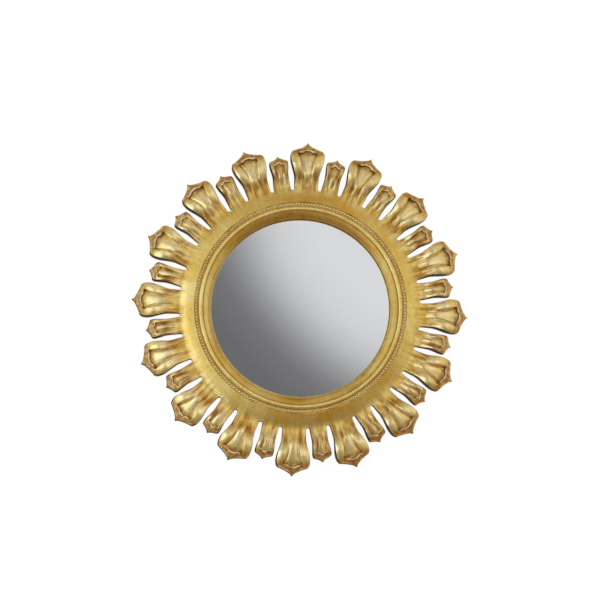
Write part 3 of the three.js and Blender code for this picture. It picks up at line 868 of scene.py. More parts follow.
glass_profile = [(r, glass_front(r)) for r in np.linspace(0, GLASS_RADIUS, 40)]
glass_profile += [(r, glass_back(r)) for r in np.linspace(GLASS_RADIUS, 0, 24)]
glass = turned_piece("silvered_dome", glass_profile, mirror_finish, steps=256, sharp_angle=50)
dress(glass, "frame", "mirror_glass", "convex_mirror")


# %% Core ring and backing board
CORE_EASE = 1.2
BOARD_EDGE = BOARD_SEAT_RADIUS - 2 * CLEARANCE
BOARD_EASE = 0.6


def rounded(corners, radius, steps=3):
    """A closed profile with each corner eased by the same radius."""
    out = []
    for i, corner in enumerate(corners):
        here = np.array(corner, float)
        before = np.array(corners[i - 1], float) - here
        after = np.array(corners[(i + 1) % len(corners)], float) - here
        shorter = min(np.linalg.norm(before), np.linalg.norm(after))
        reach = min(radius, shorter / 2.2)  # some of each edge stays straight
        start = here + before / np.linalg.norm(before) * reach
        end = here + after / np.linalg.norm(after) * reach
        for t in np.linspace(0, 1, steps + 1):
            out.append(tuple((1 - t) ** 2 * start + 2 * t * (1 - t) * here + t ** 2 * end))
    return out


core = turned_piece("core_ring_wood", rounded([
    (REBATE_RADIUS, CORE_FRONT), (CORE_RADIUS, CORE_FRONT), (CORE_RADIUS, CORE_BACK),
    (BOARD_SEAT_RADIUS, CORE_BACK), (BOARD_SEAT_RADIUS, BOARD_FRONT + CLEARANCE),
    (REBATE_RADIUS, BOARD_FRONT + CLEARANCE)], CORE_EASE), core_wood)
dress(core, "frame", "core_wood", "core_ring")

board = turned_piece("backing_board_disc", [
    (0, BOARD_FRONT), (BOARD_EDGE - BOARD_EASE, BOARD_FRONT), (BOARD_EDGE, BOARD_FRONT - BOARD_EASE),
    (BOARD_EDGE, BOARD_BACK + BOARD_EASE), (BOARD_EDGE - BOARD_EASE, BOARD_BACK), (0, BOARD_BACK)],
    hardboard)
dress(board, "frame", "board", "backing_board")

# %% Felt and spacer
FELT_INSIDE = SIGHT_RADIUS + 1
SPACER_INSIDE, SPACER_OUTSIDE = GLASS_RADIUS - 12, GLASS_RADIUS - 1

felt_ring = turned_piece("glass_felt_ring", [
    (FELT_INSIDE, LIP_DEPTH - CLEARANCE), (GLASS_RADIUS, LIP_DEPTH - CLEARANCE),
    (GLASS_RADIUS, glass_front(GLASS_RADIUS) + CLEARANCE),
    (FELT_INSIDE, glass_front(FELT_INSIDE) + CLEARANCE)], felt_finish, steps=192)
dress(felt_ring, "frame", "felt", "glass_felt")

spacer = turned_piece("spacer_ring_wood", [
    (SPACER_INSIDE, glass_back(SPACER_INSIDE) - CLEARANCE),
    (SPACER_OUTSIDE, glass_back(SPACER_OUTSIDE) - CLEARANCE),
    (SPACER_OUTSIDE, BOARD_FRONT + CLEARANCE), (SPACER_INSIDE, BOARD_FRONT + CLEARANCE)],
    spacer_wood, steps=192)
dress(spacer, "frame", "spacer_wood", "spacer_ring")

# %% [markdown]
# ## The beads
#
# The bead course was rolled as one strip of tiny domes, 208 of them. A repeated shape like this
# is what instancing is for: one dome of a few dozen faces, a circle of points, and a slight
# change of size from bead to bead, as hand-pressed composition has.

# %% One bead
BEAD_RADIUS, BEAD_HEIGHT = 3.68, 4.4
BEAD_SIDES, BEAD_RINGS = 12, 4


def dome(name, radius, height, sides, rings):
    """Half an ellipsoid that bulges to -Y from a flat back at y = 0."""
    tilts = [math.pi / 2 * j / rings for j in range(1, rings + 1)]
    profile = [(radius * math.sin(tilt), -height * math.cos(tilt)) for tilt in tilts]
    points = [(0, -height, 0)] + ring_points(profile, sides)
    back_face = tuple(reversed(range(len(points) - sides, len(points))))
    mesh = plain_mesh(
        name, points, fan_faces(0, 1, sides) + ring_faces(1, rings, sides) + [back_face])
    face_outward(mesh)
    return mesh


bead = new_object("bead", dome("bead", BEAD_RADIUS, BEAD_HEIGHT, BEAD_SIDES, BEAD_RINGS))
print("one bead:", len(bead.data.polygons), "faces")

# %% The bead tree
BEADS = 208
BEAD_COURSE_RADIUS = (LEDGE_START + MOULDING_RADIUS) / 2
BEAD_SEAT_DEPTH = LEDGE_DEPTH + 0.25


def bead_tree():
    tree, given = new_tree(
        "beads_on_a_circle", Count="Int", Circle_Radius="Float", Seat_Depth="Float",
        Seed="Int", Finish="Material")
    circle = add_node(
        tree, "GeometryNodeMeshCircle", Vertices=given["Count"], Radius=given["Circle Radius"]).outputs[0]
    seat = math_node(tree, "MULTIPLY", given["Seat Depth"], -1.0)
    circle = add_node(
        tree, "GeometryNodeTransform", Geometry=circle, Translation=vector_of(tree, y=seat),
        Rotation=(math.pi / 2, 0, 0)).outputs[0]
    beads = add_node(
        tree, "GeometryNodeInstanceOnPoints", Points=circle, Instance=given["Geometry"],
        Scale=random_number(tree, 0.95, 1.03, given["Seed"])).outputs[0]
    return finish_tree(tree, given, beads)


beads = run_tree(
    bead_tree(), bead, "bead_course", Count=BEADS, Circle_Radius=BEAD_COURSE_RADIUS * MM,
    Seat_Depth=BEAD_SEAT_DEPTH * MM, Seed=5, Finish=bead_gilding)
smooth(beads.data, 60)
dress(beads, "frame", "bead_gilding", "bead_ring")

# %% [markdown]
# ## The carved petals
#
# Each petal is one stave. From the band it dips into a valley, rises to a rounded crest and
# falls away to a pointed tip. Down its middle runs a tongue between two thin grooves; it crests
# earlier than the lips beside it, then dives into a scoop whose end is a small bracket-shaped
# step. That is a rule, so the surface is written as one: a grid whose columns follow the grooves
# and whose rows follow the bracket, so that every carved line is a line of the mesh.
#
# In the drawings, a size that ends in back is measured inward from the tip, and one that ends in
# half is half of a width. The last three say how fine the mesh is.

# %% The two petals' drawings
LARGE = {
    "half_angle": 6.4, "reach": 120.8, "waist_run": 26.0, "waist_half": 30.0,
    "head_back": 36.5, "head_half": 42.8, "shoulder_back": 20.5, "shoulder_half": 34.0,
    "tip_half": 0.9, "ogee": 1.6,
    "crest_back": 54.0, "crest_height": 32.0, "tip_height": 10.0, "fall": 1.6,
    "tongue_back": 77.0, "tongue_height": 27.5, "scoop_back": 29.5, "scoop_depth": 6.5,
    "throat_half": 7.6, "scoop_half": 20.5, "bow": 5.0, "edge_drop": 4.5, "rim_line": 10.0,
    "pitch": 2.2, "tongue_columns": 17, "flank_columns": 12,
}
SMALL = {
    "half_angle": 4.85, "reach": 88.9, "waist_run": 36.0, "waist_half": 19.5,
    "head_back": 18.5, "head_half": 23.5, "shoulder_back": 10.5, "shoulder_half": 16.5,
    "tip_half": 0.9, "ogee": 1.5,
    "crest_back": 36.0, "crest_height": 29.0, "tip_height": 11.0, "fall": 1.6,
    "tongue_back": 50.0, "tongue_height": 25.5, "scoop_back": 25.0, "scoop_depth": 4.5,
    "throat_half": 4.6, "scoop_half": 9.5, "bow": 3.5, "edge_drop": 3.5, "rim_line": 6.0,
    "pitch": 2.0, "tongue_columns": 13, "flank_columns": 10,
}
for name, drawing in (("large", LARGE), ("small", SMALL)):
    print(name, "petal:", SLOT_RADIUS + drawing["reach"], "mm from the axis to its tip")


# %% Ramps and hills
def share(value, start, end):
    return np.clip((value - start) / (end - start), 0.0, 1.0)


def ease(value, start, end):
    t = share(value, start, end)
    return t * t * (3 - 2 * t)


def lerp(first, second, t):
    return first + (second - first) * t


def hill(value, centre, width):
    """1 on a line or circle, falling off smoothly to both sides."""
    return np.exp(-((value - centre) / width) ** 2)


# %% Outline, crown and tongue of a petal
def half_width(p, along):
    """Half of the petal's width at distances from the mirror's axis."""
    slope = math.tan(math.radians(p["half_angle"]))
    tip = SLOT_RADIUS + p["reach"]
    waist = SLOT_RADIUS + p["waist_run"]
    head, shoulder = tip - p["head_back"], tip - p["shoulder_back"]
    seam = along * slope - 0.01
    arc = SLOT_HALF * np.sqrt(np.clip(1 - ((SLOT_END - along) / SLOT_HALF) ** 2, 0, 1))
    root = SLOT_END * slope - CLEARANCE / 2 - SLOT_HALF
    shaft = lerp(root, p["waist_half"], ease(along, SLOT_END, waist))
    swell = lerp(p["waist_half"], p["head_half"], ease(along, waist, head))
    turn_in = lerp(p["shoulder_half"], p["head_half"],
                   np.sqrt(1 - share(along, head, shoulder) ** 2))
    point = lerp(p["tip_half"], p["shoulder_half"], (1 - share(along, shoulder, tip)) ** p["ogee"])
    return np.select(
        [along <= SLOT_RADIUS, along <= SLOT_END, along < waist, along < head, along < shoulder],
        [seam, seam - arc, shaft, swell, turn_in], point)


def crown_height(p, radius):
    """Height of the lips above the petal's back."""
    tip = SLOT_RADIUS + p["reach"]
    crest = tip - p["crest_back"]
    band = lerp(BAND_HEIGHT, VALLEY_HEIGHT,
                np.sin(share(radius, FOOT_RADIUS, VALLEY_RADIUS) * math.pi / 2))
    rise = lerp(VALLEY_HEIGHT, p["crest_height"], ease(radius, VALLEY_RADIUS, crest))
    fall = lerp(p["crest_height"], p["tip_height"], share(radius, crest, tip) ** p["fall"])
    return np.select([radius < VALLEY_RADIUS, radius < crest], [band, rise], fall)


def tongue_height(p, along):
    tip = SLOT_RADIUS + p["reach"]
    crest, end = tip - p["tongue_back"], tip - p["scoop_back"]
    scoop_floor = crown_height(p, end) - p["scoop_depth"]
    rise = lerp(VALLEY_HEIGHT, p["tongue_height"], ease(along, VALLEY_RADIUS, crest))
    fall = lerp(p["tongue_height"], scoop_floor, share(along, crest, end) ** 1.5)
    return np.where(along < crest, rise, fall)


# %% The rows of the petal's grid
SLOT_LEAD = 0.4  # from the band's last row to the slot
SCOOP_STEP_ROWS = (-1.0, -0.3, 0.0, 0.35, 0.7, 1.05, 1.4, 2.0, 2.8, 3.8, 5.0)


def petal_rows(p):
    """Distances along the petal where the mesh has a row, closer together at carved lines."""
    tip = SLOT_RADIUS + p["reach"]
    scoop_end = tip - p["scoop_back"]
    foot = np.linspace(FOOT_RADIUS, SLOT_RADIUS, 11)[:-1]
    slot = SLOT_END - SLOT_HALF * np.cos(np.linspace(0, math.pi / 2, 9))
    shaft = np.linspace(SLOT_END, scoop_end - 2, int((scoop_end - SLOT_END) / p["pitch"]))
    step = scoop_end + np.array(SCOOP_STEP_ROWS)
    head = np.linspace(scoop_end + 6.4, tip - 1.0, int(p["scoop_back"] / p["pitch"] * 1.1))
    end = tip - np.array([0.5, 0.2, 0.0])
    return np.concatenate([foot, [SLOT_RADIUS - SLOT_LEAD], slot, shaft[1:], step, head, end])


print("rows:", len(petal_rows(LARGE)), "large,", len(petal_rows(SMALL)), "small")

# %% Places of the petal's points
EDGE_ROUND = 1.5
EDGE_TURNS = (30.0, 60.0, 90.0)  # degrees round the eased edge
BOW_WIDTH = 9.0  # how far along the petal the rows feel the bracket


def petal_grid(p):
    """Where the face's points stand, as arrays of rows by columns."""
    tip = SLOT_RADIUS + p["reach"]
    scoop_end = tip - p["scoop_back"]
    row = petal_rows(p)[:, None]
    half = half_width(p, row)
    groove = lerp(p["throat_half"], p["scoop_half"], share(row, SLOT_END, scoop_end) ** 2.9)
    groove = np.minimum(groove, half * 0.62)
    round_off = np.minimum(EDGE_ROUND, half * 0.3) * ease(row, SLOT_RADIUS, SLOT_END) + 0.02

    t = np.linspace(-1, 1, p["tongue_columns"])[None, :]
    q = np.linspace(0, 1, p["flank_columns"] + 1)[None, 1:] ** 1.25
    turns = np.radians(EDGE_TURNS)[None, :]
    tongue = groove * t
    flank = groove + (half - round_off - groove) * q
    side = np.concatenate([flank, half - round_off + round_off * np.sin(turns)], axis=1)
    across = np.concatenate([-side[:, ::-1], tongue, side], axis=1)
    rounding = np.concatenate([0 * flank, round_off * (1 - np.cos(turns))], axis=1)
    rounding = np.concatenate([rounding[:, ::-1], 0 * tongue, rounding], axis=1)

    # The rows bow out along the bracket that ends the scoop.
    lift = hill(row, scoop_end + 0.7, BOW_WIDTH) * (1 - ease(np.abs(t), 0.22, 0.72)) * p["bow"]
    bow = np.concatenate([0 * side, lift, 0 * side], axis=1)
    along = row + bow

    # Where the band is, the rows are arcs round the mirror's axis.
    half_angle = math.radians(p["half_angle"])
    theta = half_angle * across / (row * math.tan(half_angle))
    arc = 1 - share(row, FOOT_RADIUS, SLOT_RADIUS)
    across = lerp(across, row * np.sin(theta), arc)
    along = lerp(along, row * np.cos(theta), arc)
    return SimpleNamespace(
        tip=tip, scoop_end=scoop_end, row=row, half=half, groove=groove, bow=bow,
        rounding=rounding, across=across, along=along, radius=np.hypot(across, along),
        from_middle=np.abs(across) / np.maximum(groove, 1e-3))  # 1 is at the groove


print("large petal's face:", petal_grid(LARGE).across.shape, "rows and columns")

# %% Height of the petal's face
GROOVE_DEPTH = 0.9  # of the thin lines beside the tongue
SCOOP_RISE = 1.4  # length of the step that ends the scoop
TONGUE_CROWN = 1.6  # how much lower the tongue is at its grooves
PEARL_HEIGHT, PEARL_PLACE, PEARL_LENGTH = 1.7, 3.8, 1.9  # the small bead past the scoop's end
RIM_DEPTH, RIM_WIDTH, RIM_CURVE = 0.9, 1.3, 7.0  # the cut line that follows the tip


def add_carved_lines(p, g):
    """Adds to the grid where each carved thing is, from 0 to 1."""
    g.relief = ease(g.row, VALLEY_RADIUS - 2, VALLEY_RADIUS + 24)
    g.past = ease(g.row, g.scoop_end, g.scoop_end + SCOOP_RISE)
    g.in_scoop = 1 - ease(g.from_middle, 0.9, 1.15)
    g.pearl = hill(g.row, g.scoop_end + PEARL_PLACE, PEARL_LENGTH) * g.in_scoop
    centre = g.scoop_end + p["rim_line"] + 3 - (g.across / p["scoop_half"]) ** 2 * RIM_CURVE
    fade = 1 - ease(np.abs(g.across), p["scoop_half"] * 1.05, p["scoop_half"] * 1.4)
    g.rim = hill(g.along - g.bow, centre, RIM_WIDTH) * fade * g.past


def petal_height(p, g):
    """Height of the face above the petal's back."""
    lip = crown_height(p, g.radius)
    drop = p["edge_drop"] * ease(g.row, SLOT_RADIUS, g.tip - p["head_back"])
    tongue = lerp(lip, tongue_height(p, g.along), g.relief)
    tongue = tongue - TONGUE_CROWN * g.relief * g.from_middle ** 2
    groove_floor = np.minimum(tongue, lip) - GROOVE_DEPTH * g.relief
    inside = lerp(tongue, groove_floor, ease(g.from_middle, 0.84, 1.0))

    out = share(np.abs(g.across), g.groove, g.half)
    wall_end = np.minimum(6.0 / np.maximum(g.half - g.groove, 1e-3), 0.6)
    roll = lip - drop * share(out, 0.42, 1.0) ** 2
    outside = lerp(groove_floor, roll, ease(out, 0.0, wall_end))
    carving = np.where(np.abs(g.across) <= g.groove, inside, outside)
    plain = lip - drop * share(np.abs(g.across), g.half * 0.42, g.half) ** 2

    # The head is plain past the scoop, at once in the middle and slowly on both sides.
    past_beside = ease(g.row, g.scoop_end - 8, g.scoop_end + 8)
    past = lerp(g.past, past_beside, ease(g.from_middle, 1.1, 1.6))
    return lerp(carving, plain, past) + PEARL_HEIGHT * g.pearl - RIM_DEPTH * g.rim - g.rounding


# %% Masks for the petal's finish
def petal_masks(p, g):
    """Painted shade in the cut lines, at the scoop's step and in the scoop's end, patina in the valley
    and over the waist, bole where the leaf is thin, paler leaf as a painted highlight on the crest,
    and a painted white glint on the pearl.
    """
    # Painted shade: thin in the grooves, strong at the scoop's step, lighter along the rim line.
    line = hill(np.abs(g.across), g.groove, 0.9) * g.relief * (1 - g.past)
    step = hill(g.row, g.scoop_end + 0.2, 1.3) * g.in_scoop
    valley = hill(g.row, VALLEY_RADIUS - 2, 12.0)
    waist = hill(g.row, SLOT_RADIUS + p["waist_run"] + 4, 17.0)
    beside = ease(g.from_middle, 0.5, 1.1)
    # Painted shade in the scoop's end, under the step.
    hollow_shade = hill(g.row, g.scoop_end - 3, 4.5) * g.in_scoop * (1 - g.past)
    # Painted highlight: paler leaf on the crest, and a white painted glint on the pearl.
    crest = hill(g.radius, g.tip - p["crest_back"] - 10, 27.0)
    glinting_pearl = np.clip(g.pearl * 1.3 - 0.3, 0, 1)
    return {
        "lines": np.clip(0.15 * line + 0.85 * step + 0.3 * g.rim, 0, 1),
        "patina": np.clip(
            0.55 * valley + waist * (0.38 + 0.48 * beside) + 0.55 * hollow_shade + 0.1, 0, 1),
        "bole": 0.9 * ease(g.radius, g.tip - p["crest_back"] + 14, g.scoop_end + 4),
        "rub": np.clip(0.85 * crest * (1 - 0.8 * hollow_shade) + g.pearl, 0, 1),
        "gesso": 0.9 * glinting_pearl * (1 - ease(g.from_middle, 0.5, 0.9)),
        "streaks": g.relief + 0 * g.across,
    }


# %% The petal as a closed mesh
BACK_EASE = 0.8
PAINTED_EDGE = 3.6  # width of the dark paint that comes round from the side
WALL_POINTS = 8


def petal_section(g, height):
    """Each row closed round: the face, the right side wall, the flat back, the left side wall."""
    half, edge = g.across[:, -1:], height[:, -1:]
    low = np.minimum(BACK_EASE, half * 0.4)
    right_wall = [half, half, half - low, half * 0.45]
    left_wall = [-column for column in reversed(right_wall)]
    rise = [edge * 0.55, low, 0 * half, 0 * half]
    x = np.concatenate([g.across] + right_wall + left_wall, axis=1)
    h = np.concatenate([height] + rise + rise[::-1], axis=1)
    z = np.concatenate([g.along, np.repeat(g.along[:, -1:], WALL_POINTS, axis=1)], axis=1)
    return x, h, z


def petal_layers(p, g):
    """The masks, taken round to the walls and the back."""
    bare = np.zeros((len(g.row), WALL_POINTS))
    on_back = bare + np.array([0, 0, 1, 1, 1, 1, 0, 0])
    layers = {mask: np.concatenate([values, bare], axis=1)
              for mask, values in petal_masks(p, g).items()}
    # A band of dark edge paint comes onto the face; the shader shows it mostly where the edge looks left
    # and down, as painted shade.
    painted = 1 - share(g.across[:, -1:] - np.abs(g.across), 0.0, PAINTED_EDGE)
    painted = painted * share(g.row, SLOT_RADIUS - SLOT_LEAD, SLOT_RADIUS)
    layers["edge"] = np.concatenate([painted, 1 - on_back], axis=1)
    layers["raw"] = np.concatenate([0 * g.across, on_back], axis=1)
    return layers


def petal_mesh(name, p):
    g = petal_grid(p)
    add_carved_lines(p, g)
    x, h, z = petal_section(g, petal_height(p, g))
    points = np.stack([x, -(STAVE_DEPTH + h), z], axis=-1).reshape(-1, 3)
    index = np.arange(x.size).reshape(x.shape)
    following = np.roll(index, -1, axis=1)
    quads = np.stack([index[:-1], index[1:], following[1:], following[:-1]], axis=-1)
    ends = [index[0].tolist(), index[-1].tolist()[::-1]]
    mesh = plain_mesh(name, points.tolist(), quads.reshape(-1, 4).tolist() + ends)
    millilitres = face_outward(mesh) * 1e6

    for label, values in petal_layers(p, g).items():
        layer = mesh.attributes.new(label, "FLOAT", "POINT")
        layer.data.foreach_set("value", values.reshape(-1).astype(np.float32))
    flat = (np.stack([x, z + h], axis=-1).reshape(-1, 2) * MM).astype(np.float32)
    corners = np.empty(len(mesh.loops), np.int32)
    mesh.loops.foreach_get("vertex_index", corners)
    mesh.uv_layers.new(name="grain").data.foreach_set("uv", flat[corners].reshape(-1))
    smooth(mesh, 48)
    print(name, len(mesh.polygons), "faces,", round(millilitres), "millilitres")
    return mesh


# %% [markdown]
# ## Setting the petals round the glass
#
# The two carvings alternate, sixteen of each. The tree turns one petal about the mirror's axis in
# equal steps and gives each copy a number of its own, so that no two petals take the same leaf.

# %% The petal tree
PETALS = 16  # of each size


def petal_tree():
    tree, given = new_tree(
        "petals_round_the_axis", Count="Int", First_Angle="Float", Seed="Int", Finish="Material")
    spots = add_node(tree, "GeometryNodePoints", Count=given["Count"]).outputs[0]
    order = add_node(tree, "GeometryNodeInputIndex").outputs[0]
    step = math_node(tree, "DIVIDE", 2 * math.pi, given["Count"])
    angle = math_node(tree, "MULTIPLY_ADD", order, step, given["First Angle"])
    petals = add_node(
        tree, "GeometryNodeInstanceOnPoints", Points=spots, Instance=given["Geometry"],
        Rotation=turned_by(tree, angle)).outputs[0]
    petals = add_node(
        tree, "GeometryNodeStoreNamedAttribute", {"data_type": "FLOAT", "domain": "INSTANCE"},
        Geometry=petals, Name="petal_shuffle",
        Value=random_number(tree, 0.0, 60.0, given["Seed"])).outputs[0]
    return finish_tree(tree, given, petals)


petals_round = petal_tree()
gilded_pieces = [moulding, beads]
for name, drawing, first, seed in (("large", LARGE, 0.0, 11), ("small", SMALL, 180 / PETALS, 23)):
    source = new_object("petal_" + name, petal_mesh("petal_" + name, drawing))
    petals = run_tree(
        petals_round, source, f"petals_{name}", Count=PETALS, First_Angle=math.radians(first),
        Seed=seed, Finish=petal_gilding)
    dress(petals, "frame", "petal_gilding",
          *[f"petal_{name}_{i + 1:02d}" for i in range(PETALS)])
    gilded_pieces.append(petals)

# %% [markdown]
# ## Light for the gilding alone
#
# Two soft boxes beside the camera bring out the burnished crests. In the glass they would show as
# white patches, which the photograph doesn't have, so they are linked to the gilded pieces only.

# %% Link the front soft boxes
gilded = bpy.data.collections.new("gilded_pieces")
for piece in gilded_pieces:
    gilded.objects.link(piece)
for lamp in (front_left, front_right):
    lamp.light_linking.receiver_collection = gilded

# %% [markdown]
# ## Screws
#
# Eight small brass screws hold the backing board, and two steel ones hold each hanger strap. A
# screw is a turned head with a cross cut in it. The tree puts one at every screw's place, each
# turned by its own angle, because nobody stops every screw at the same one.

# %% One screw
SCREW_SIDES = 24
SCREW_PROFILE = [(1.7, -9.0), (1.7, 0.0), (3.45, 0.0), (3.6, 0.35), (3.5, 1.0), (3.0, 1.6), (2.2, 2.0)]
SCREW_TIP = -10.5
RECESS_TOP, RECESS_FLOOR = 2.1, 0.9
ARM, CORNER = 1.75, 0.62  # how far the recess reaches in its arms and between them
FLOOR_SHARE = 0.8  # the recess narrows to this


def screw_mesh():
    """A pan head that bulges to +Y from y = 0, with a cross-shaped recess, on a short shank."""
    sides, rings = SCREW_SIDES, len(SCREW_PROFILE)
    points = [(0, SCREW_TIP, 0)] + ring_points(SCREW_PROFILE, sides)
    rim, star = len(points) - sides, len(points)
    for scale, rise in ((1.0, RECESS_TOP), (FLOOR_SHARE, RECESS_FLOOR)):
        for i in range(sides):
            a = 2 * math.pi * i / sides
            reach = scale * (ARM if i % 6 in (0, 1, 5) else CORNER)
            points.append((reach * math.cos(a), rise, reach * math.sin(a)))
    faces = fan_faces(0, 1, sides) + ring_faces(1, rings, sides) + ring_faces(rim, 3, sides)
    faces.append(tuple(reversed(range(star + sides, star + 2 * sides))))
    mesh = plain_mesh("screw", points, faces)
    face_outward(mesh)
    return mesh


one_screw = new_object("one_screw", screw_mesh())
print("one screw:", len(one_screw.data.polygons), "faces")


# %% The screw tree
def screw_tree():
    tree, given = new_tree("screws_at_places", Screw="Object", Seed="Int", Finish="Material")
    screw = add_node(tree, "GeometryNodeObjectInfo", Object=given["Screw"])
    angle = random_number(tree, 0.0, 2 * math.pi, given["Seed"])
    screws = add_node(
        tree, "GeometryNodeInstanceOnPoints", Points=given["Geometry"],
        Instance=screw.outputs["Geometry"], Rotation=turned_by(tree, angle)).outputs[0]
    return finish_tree(tree, given, screws)


screws_at = screw_tree()

# %% Where the hangers and the screws are
BAND_MIDDLE = (BOARD_SEAT_RADIUS + CORE_RADIUS) / 2  # of the core ring's flat back
HANGER_ANGLE = math.radians(20)  # of the straps' middles above the mirror's
STRAP_HALF, STRAP_LENGTH, STRAP_THICKNESS = 9.0, 56.0, 1.5
STRAP_HOLES = (30.0, 46.0)  # below the eye
BOARD_SCREWS, BOARD_SCREW_RADIUS = 8, 238.5


def around(angle, radius, depth=0.0):
    a = math.radians(angle)
    return (radius * math.sin(a), -depth, radius * math.cos(a))


eye_x = BAND_MIDDLE * math.cos(HANGER_ANGLE)
eye_z = BAND_MIDDLE * math.sin(HANGER_ANGLE) + STRAP_LENGTH / 2
EYES = {"left": (-eye_x, eye_z), "right": (eye_x, eye_z)}
strap_back = CORE_BACK - CLEARANCE - STRAP_THICKNESS
print("hangers' eyes:", round(2 * eye_x, 1), "mm apart,", round(eye_z, 1), "mm above the middle")

# %% Drive the screws
board_places = [around(360 / BOARD_SCREWS * (i + 0.5), BOARD_SCREW_RADIUS, BOARD_BACK - CLEARANCE)
                for i in range(BOARD_SCREWS)]
strap_places = [(x, -(strap_back - CLEARANCE), z - below)
                for x, z in EYES.values() for below in STRAP_HOLES]
for name, places, finish, slot in (
        ("board_screws", board_places, brass, "screw_brass"),
        ("strap_screws", strap_places, plated_steel, "hanger_steel")):
    spots = new_object(name + "_places", plain_mesh(name + "_places", places))
    screws = run_tree(screws_at, spots, name, Screw=one_screw, Seed=3, Finish=finish)
    smooth(screws.data, 35)
    dress(screws, "frame", slot, *[f"{name[:-1]}_{i + 1}" for i in range(len(places))])
bpy.data.objects.remove(one_screw)

# %% [markdown]
# ## Hangers and bumpers
#
# Each hanger is a strip of steel folded into an eye, and a D of round wire that swings in it. A
# folded strip is a prism, so its side is drawn once and the eye, the round end and the holes are
# cut. The rings ride on bodies of their own, because they swing up when the mirror is hung. The
# bumpers are turned, but they stand off the axis, so they are lathed as meshes of their own.


# %% Helpers for cut sheet metal
def prism(name, outline, low, high, axis):
    """A prism over an outline of [a, b] pairs.

    axis "X" runs along X over [z, y] pairs, and axis "Y" along Y over [x, z] pairs.
    """
    count = len(outline)
    points = []
    for level in (low, high):
        points += [((level, b, a) if axis == "X" else (a, level, b)) for a, b in outline]
    faces = ring_faces(0, 2, count)
    faces += [tuple(range(count)), tuple(reversed(range(count, 2 * count)))]
    mesh = plain_mesh(name, points, faces)
    face_outward(mesh)
    return new_object(name, mesh)


def arc_points(centre, radius, start, end, steps):
    return [(centre[0] + radius * math.cos(a), centre[1] + radius * math.sin(a))
            for a in np.radians(np.linspace(start, end, steps + 1))]


def circle_points(centre, radius, sides=24):
    return arc_points(centre, radius, 0, 360 - 360 / sides, sides - 1)


def combine(target, tool, operation):
    """Cuts the target with the tool, which is used up."""
    modifier = target.modifiers.new(operation, "BOOLEAN")
    modifier.operation, modifier.object, modifier.solver = operation, tool, "EXACT"
    mesh = evaluated_mesh(target)
    target.modifiers.remove(modifier)
    target.data = mesh
    bpy.data.objects.remove(tool)


# %% Straps
EYE_DEPTH = 4.15
EYE_BORE, EYE_RADIUS = 2.05, 3.55
STRAP_HOLE_RADIUS = 2.0
STRAP_EASE = 0.25
CUT = 20.0  # how far a cutter runs past the strap's middle


def strap_piece(name, x, z):
    seat, top = -EYE_RADIUS, -EYE_RADIUS + STRAP_THICKNESS
    meet = 180 - math.degrees(math.asin(top / EYE_RADIUS))
    roll = arc_points((0, 0), EYE_RADIUS, -90, meet, 40)
    strap = prism(name, [(-STRAP_LENGTH, seat)] + roll + [(-STRAP_LENGTH, top)],
                  -STRAP_HALF, STRAP_HALF, "X")
    combine(strap, prism("bore", circle_points((0, 0), EYE_BORE), -CUT, CUT, "X"), "DIFFERENCE")
    round_end = arc_points((0, STRAP_HALF - STRAP_LENGTH), STRAP_HALF, 180, 360, 24)
    plan = [(STRAP_HALF, CUT), (-STRAP_HALF, CUT)] + round_end
    combine(strap, prism("plan", plan, -CUT, CUT, "Y"), "INTERSECT")
    for below in STRAP_HOLES:
        hole = circle_points((0, -below), STRAP_HOLE_RADIUS)
        combine(strap, prism("hole", hole, -CUT, CUT, "Y"), "DIFFERENCE")
    strap.data.transform(Matrix.Translation((x * MM, -EYE_DEPTH * MM, z * MM)))
    strap.data.materials.clear()
    strap.data.materials.append(plated_steel)
    bevel = strap.modifiers.new("eased edges", "BEVEL")
    bevel.width, bevel.segments, bevel.angle_limit = STRAP_EASE * MM, 2, math.radians(50)
    mesh = evaluated_mesh(strap)
    strap.modifiers.clear()
    strap.data = mesh
    smooth(strap.data, 40)
    return strap


for side, (x, z) in EYES.items():
    dress(strap_piece(f"hanger_strap_{side}", x, z), "frame", "hanger_steel", f"strap_{side}")

# %% D-rings
WIRE_RADIUS, RING_HALF, RING_DROP = 1.75, 14.0, 21.0
WIRE_SIDES = 16
WIRE_BEND = 1.6  # radius of the corners between bow and bar


def d_path():
    """The wire's middle line, as [x, z] pairs from the eye: the bow, a corner, the bar, a corner."""
    handle = RING_DROP * 4 / 3
    bow = []
    for t in np.linspace(0, 1, 49)[1:-1]:
        u = 1 - t
        across = RING_HALF * (-u ** 3 - 3 * u * u * t + 3 * u * t * t + t ** 3)
        bow.append((across, -handle * (3 * u * u * t + 3 * u * t * t)))
    bow = [(-RING_HALF, -WIRE_BEND)] + bow + [(RING_HALF, -WIRE_BEND)]
    corner = [(RING_HALF - WIRE_BEND * (1 - math.cos(a)), WIRE_BEND * (math.sin(a) - 1))
              for a in np.radians([30, 60, 90])]
    bar = [(t * (RING_HALF - WIRE_BEND), 0.0) for t in np.linspace(0.8, -0.8, 9)]
    return np.array(bow + corner + bar + [(-px, pz) for px, pz in reversed(corner)])


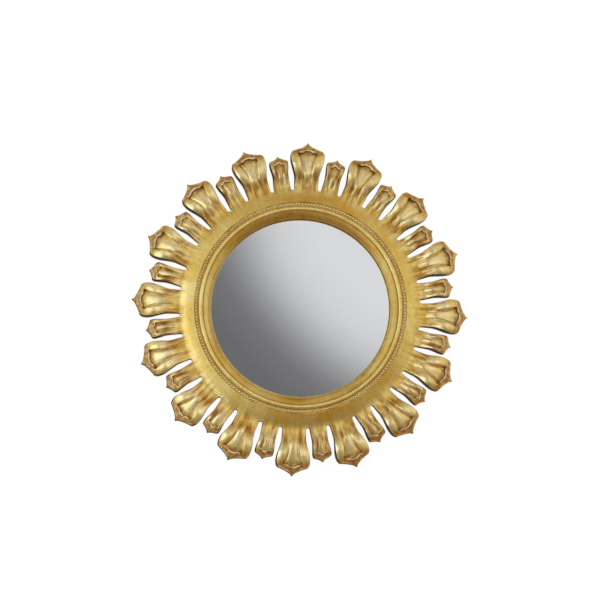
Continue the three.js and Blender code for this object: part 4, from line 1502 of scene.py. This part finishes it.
def d_ring_mesh(name, x, z):
    """A closed D of round wire: a bar through the eye and a bow that hangs below it."""
    line = d_path()
    ahead = np.roll(line, -1, axis=0) - np.roll(line, 1, axis=0)
    ahead /= np.linalg.norm(ahead, axis=1)[:, None]
    outward = np.stack([ahead[:, 1], -ahead[:, 0]], axis=1)
    points = []
    for (px, pz), (ox, oz) in zip(line, outward):
        for j in range(WIRE_SIDES):
            a = 2 * math.pi * j / WIRE_SIDES
            reach, rise = WIRE_RADIUS * math.cos(a), WIRE_RADIUS * math.sin(a)
            points.append((x + px + ox * reach, -EYE_DEPTH + rise, z + pz + oz * reach))
    index = np.arange(len(points)).reshape(len(line), WIRE_SIDES)
    beside, following = np.roll(index, -1, axis=1), np.roll(index, -1, axis=0)
    quads = np.stack([index, beside, np.roll(beside, -1, axis=0), following], axis=-1)
    mesh = plain_mesh(name, points, quads.reshape(-1, 4).tolist())
    face_outward(mesh)
    mesh.materials.append(plated_steel)
    smooth(mesh, 60)
    return mesh


for side, (x, z) in EYES.items():
    ring = new_object(f"hanger_ring_{side}", d_ring_mesh(f"hanger_ring_{side}", x, z))
    dress(ring, f"ring_{side}", "hanger_steel", f"d_ring_{side}")

# %% Bumpers
BUMPER_ANGLE = 150
BUMPER_SIDES = 40
BUMPER_PROFILE = [(7.4, 0), (8.1, -0.2), (8.5, -0.7), (9.85, -7.0), (9.8, -7.4), (9.4, -7.7)]


def bumper_mesh(name, x, z):
    """A lathed button whose flat face is on the wall."""
    points = ring_points(BUMPER_PROFILE, BUMPER_SIDES, x, z)
    faces = ring_faces(0, len(BUMPER_PROFILE), BUMPER_SIDES)
    faces.append(tuple(reversed(range(BUMPER_SIDES))))
    faces.append(tuple(range(len(points) - BUMPER_SIDES, len(points))))
    mesh = plain_mesh(name, points, faces)
    face_outward(mesh)
    mesh.materials.append(rubber)
    smooth(mesh, 35)
    return mesh


for side, angle in (("left", -BUMPER_ANGLE), ("right", BUMPER_ANGLE)):
    x, _, z = around(angle, BAND_MIDDLE)
    bumper = new_object(f"wall_bumper_{side}", bumper_mesh(f"wall_bumper_{side}", x, z))
    dress(bumper, "frame", "bumper_rubber", f"bumper_{side}")
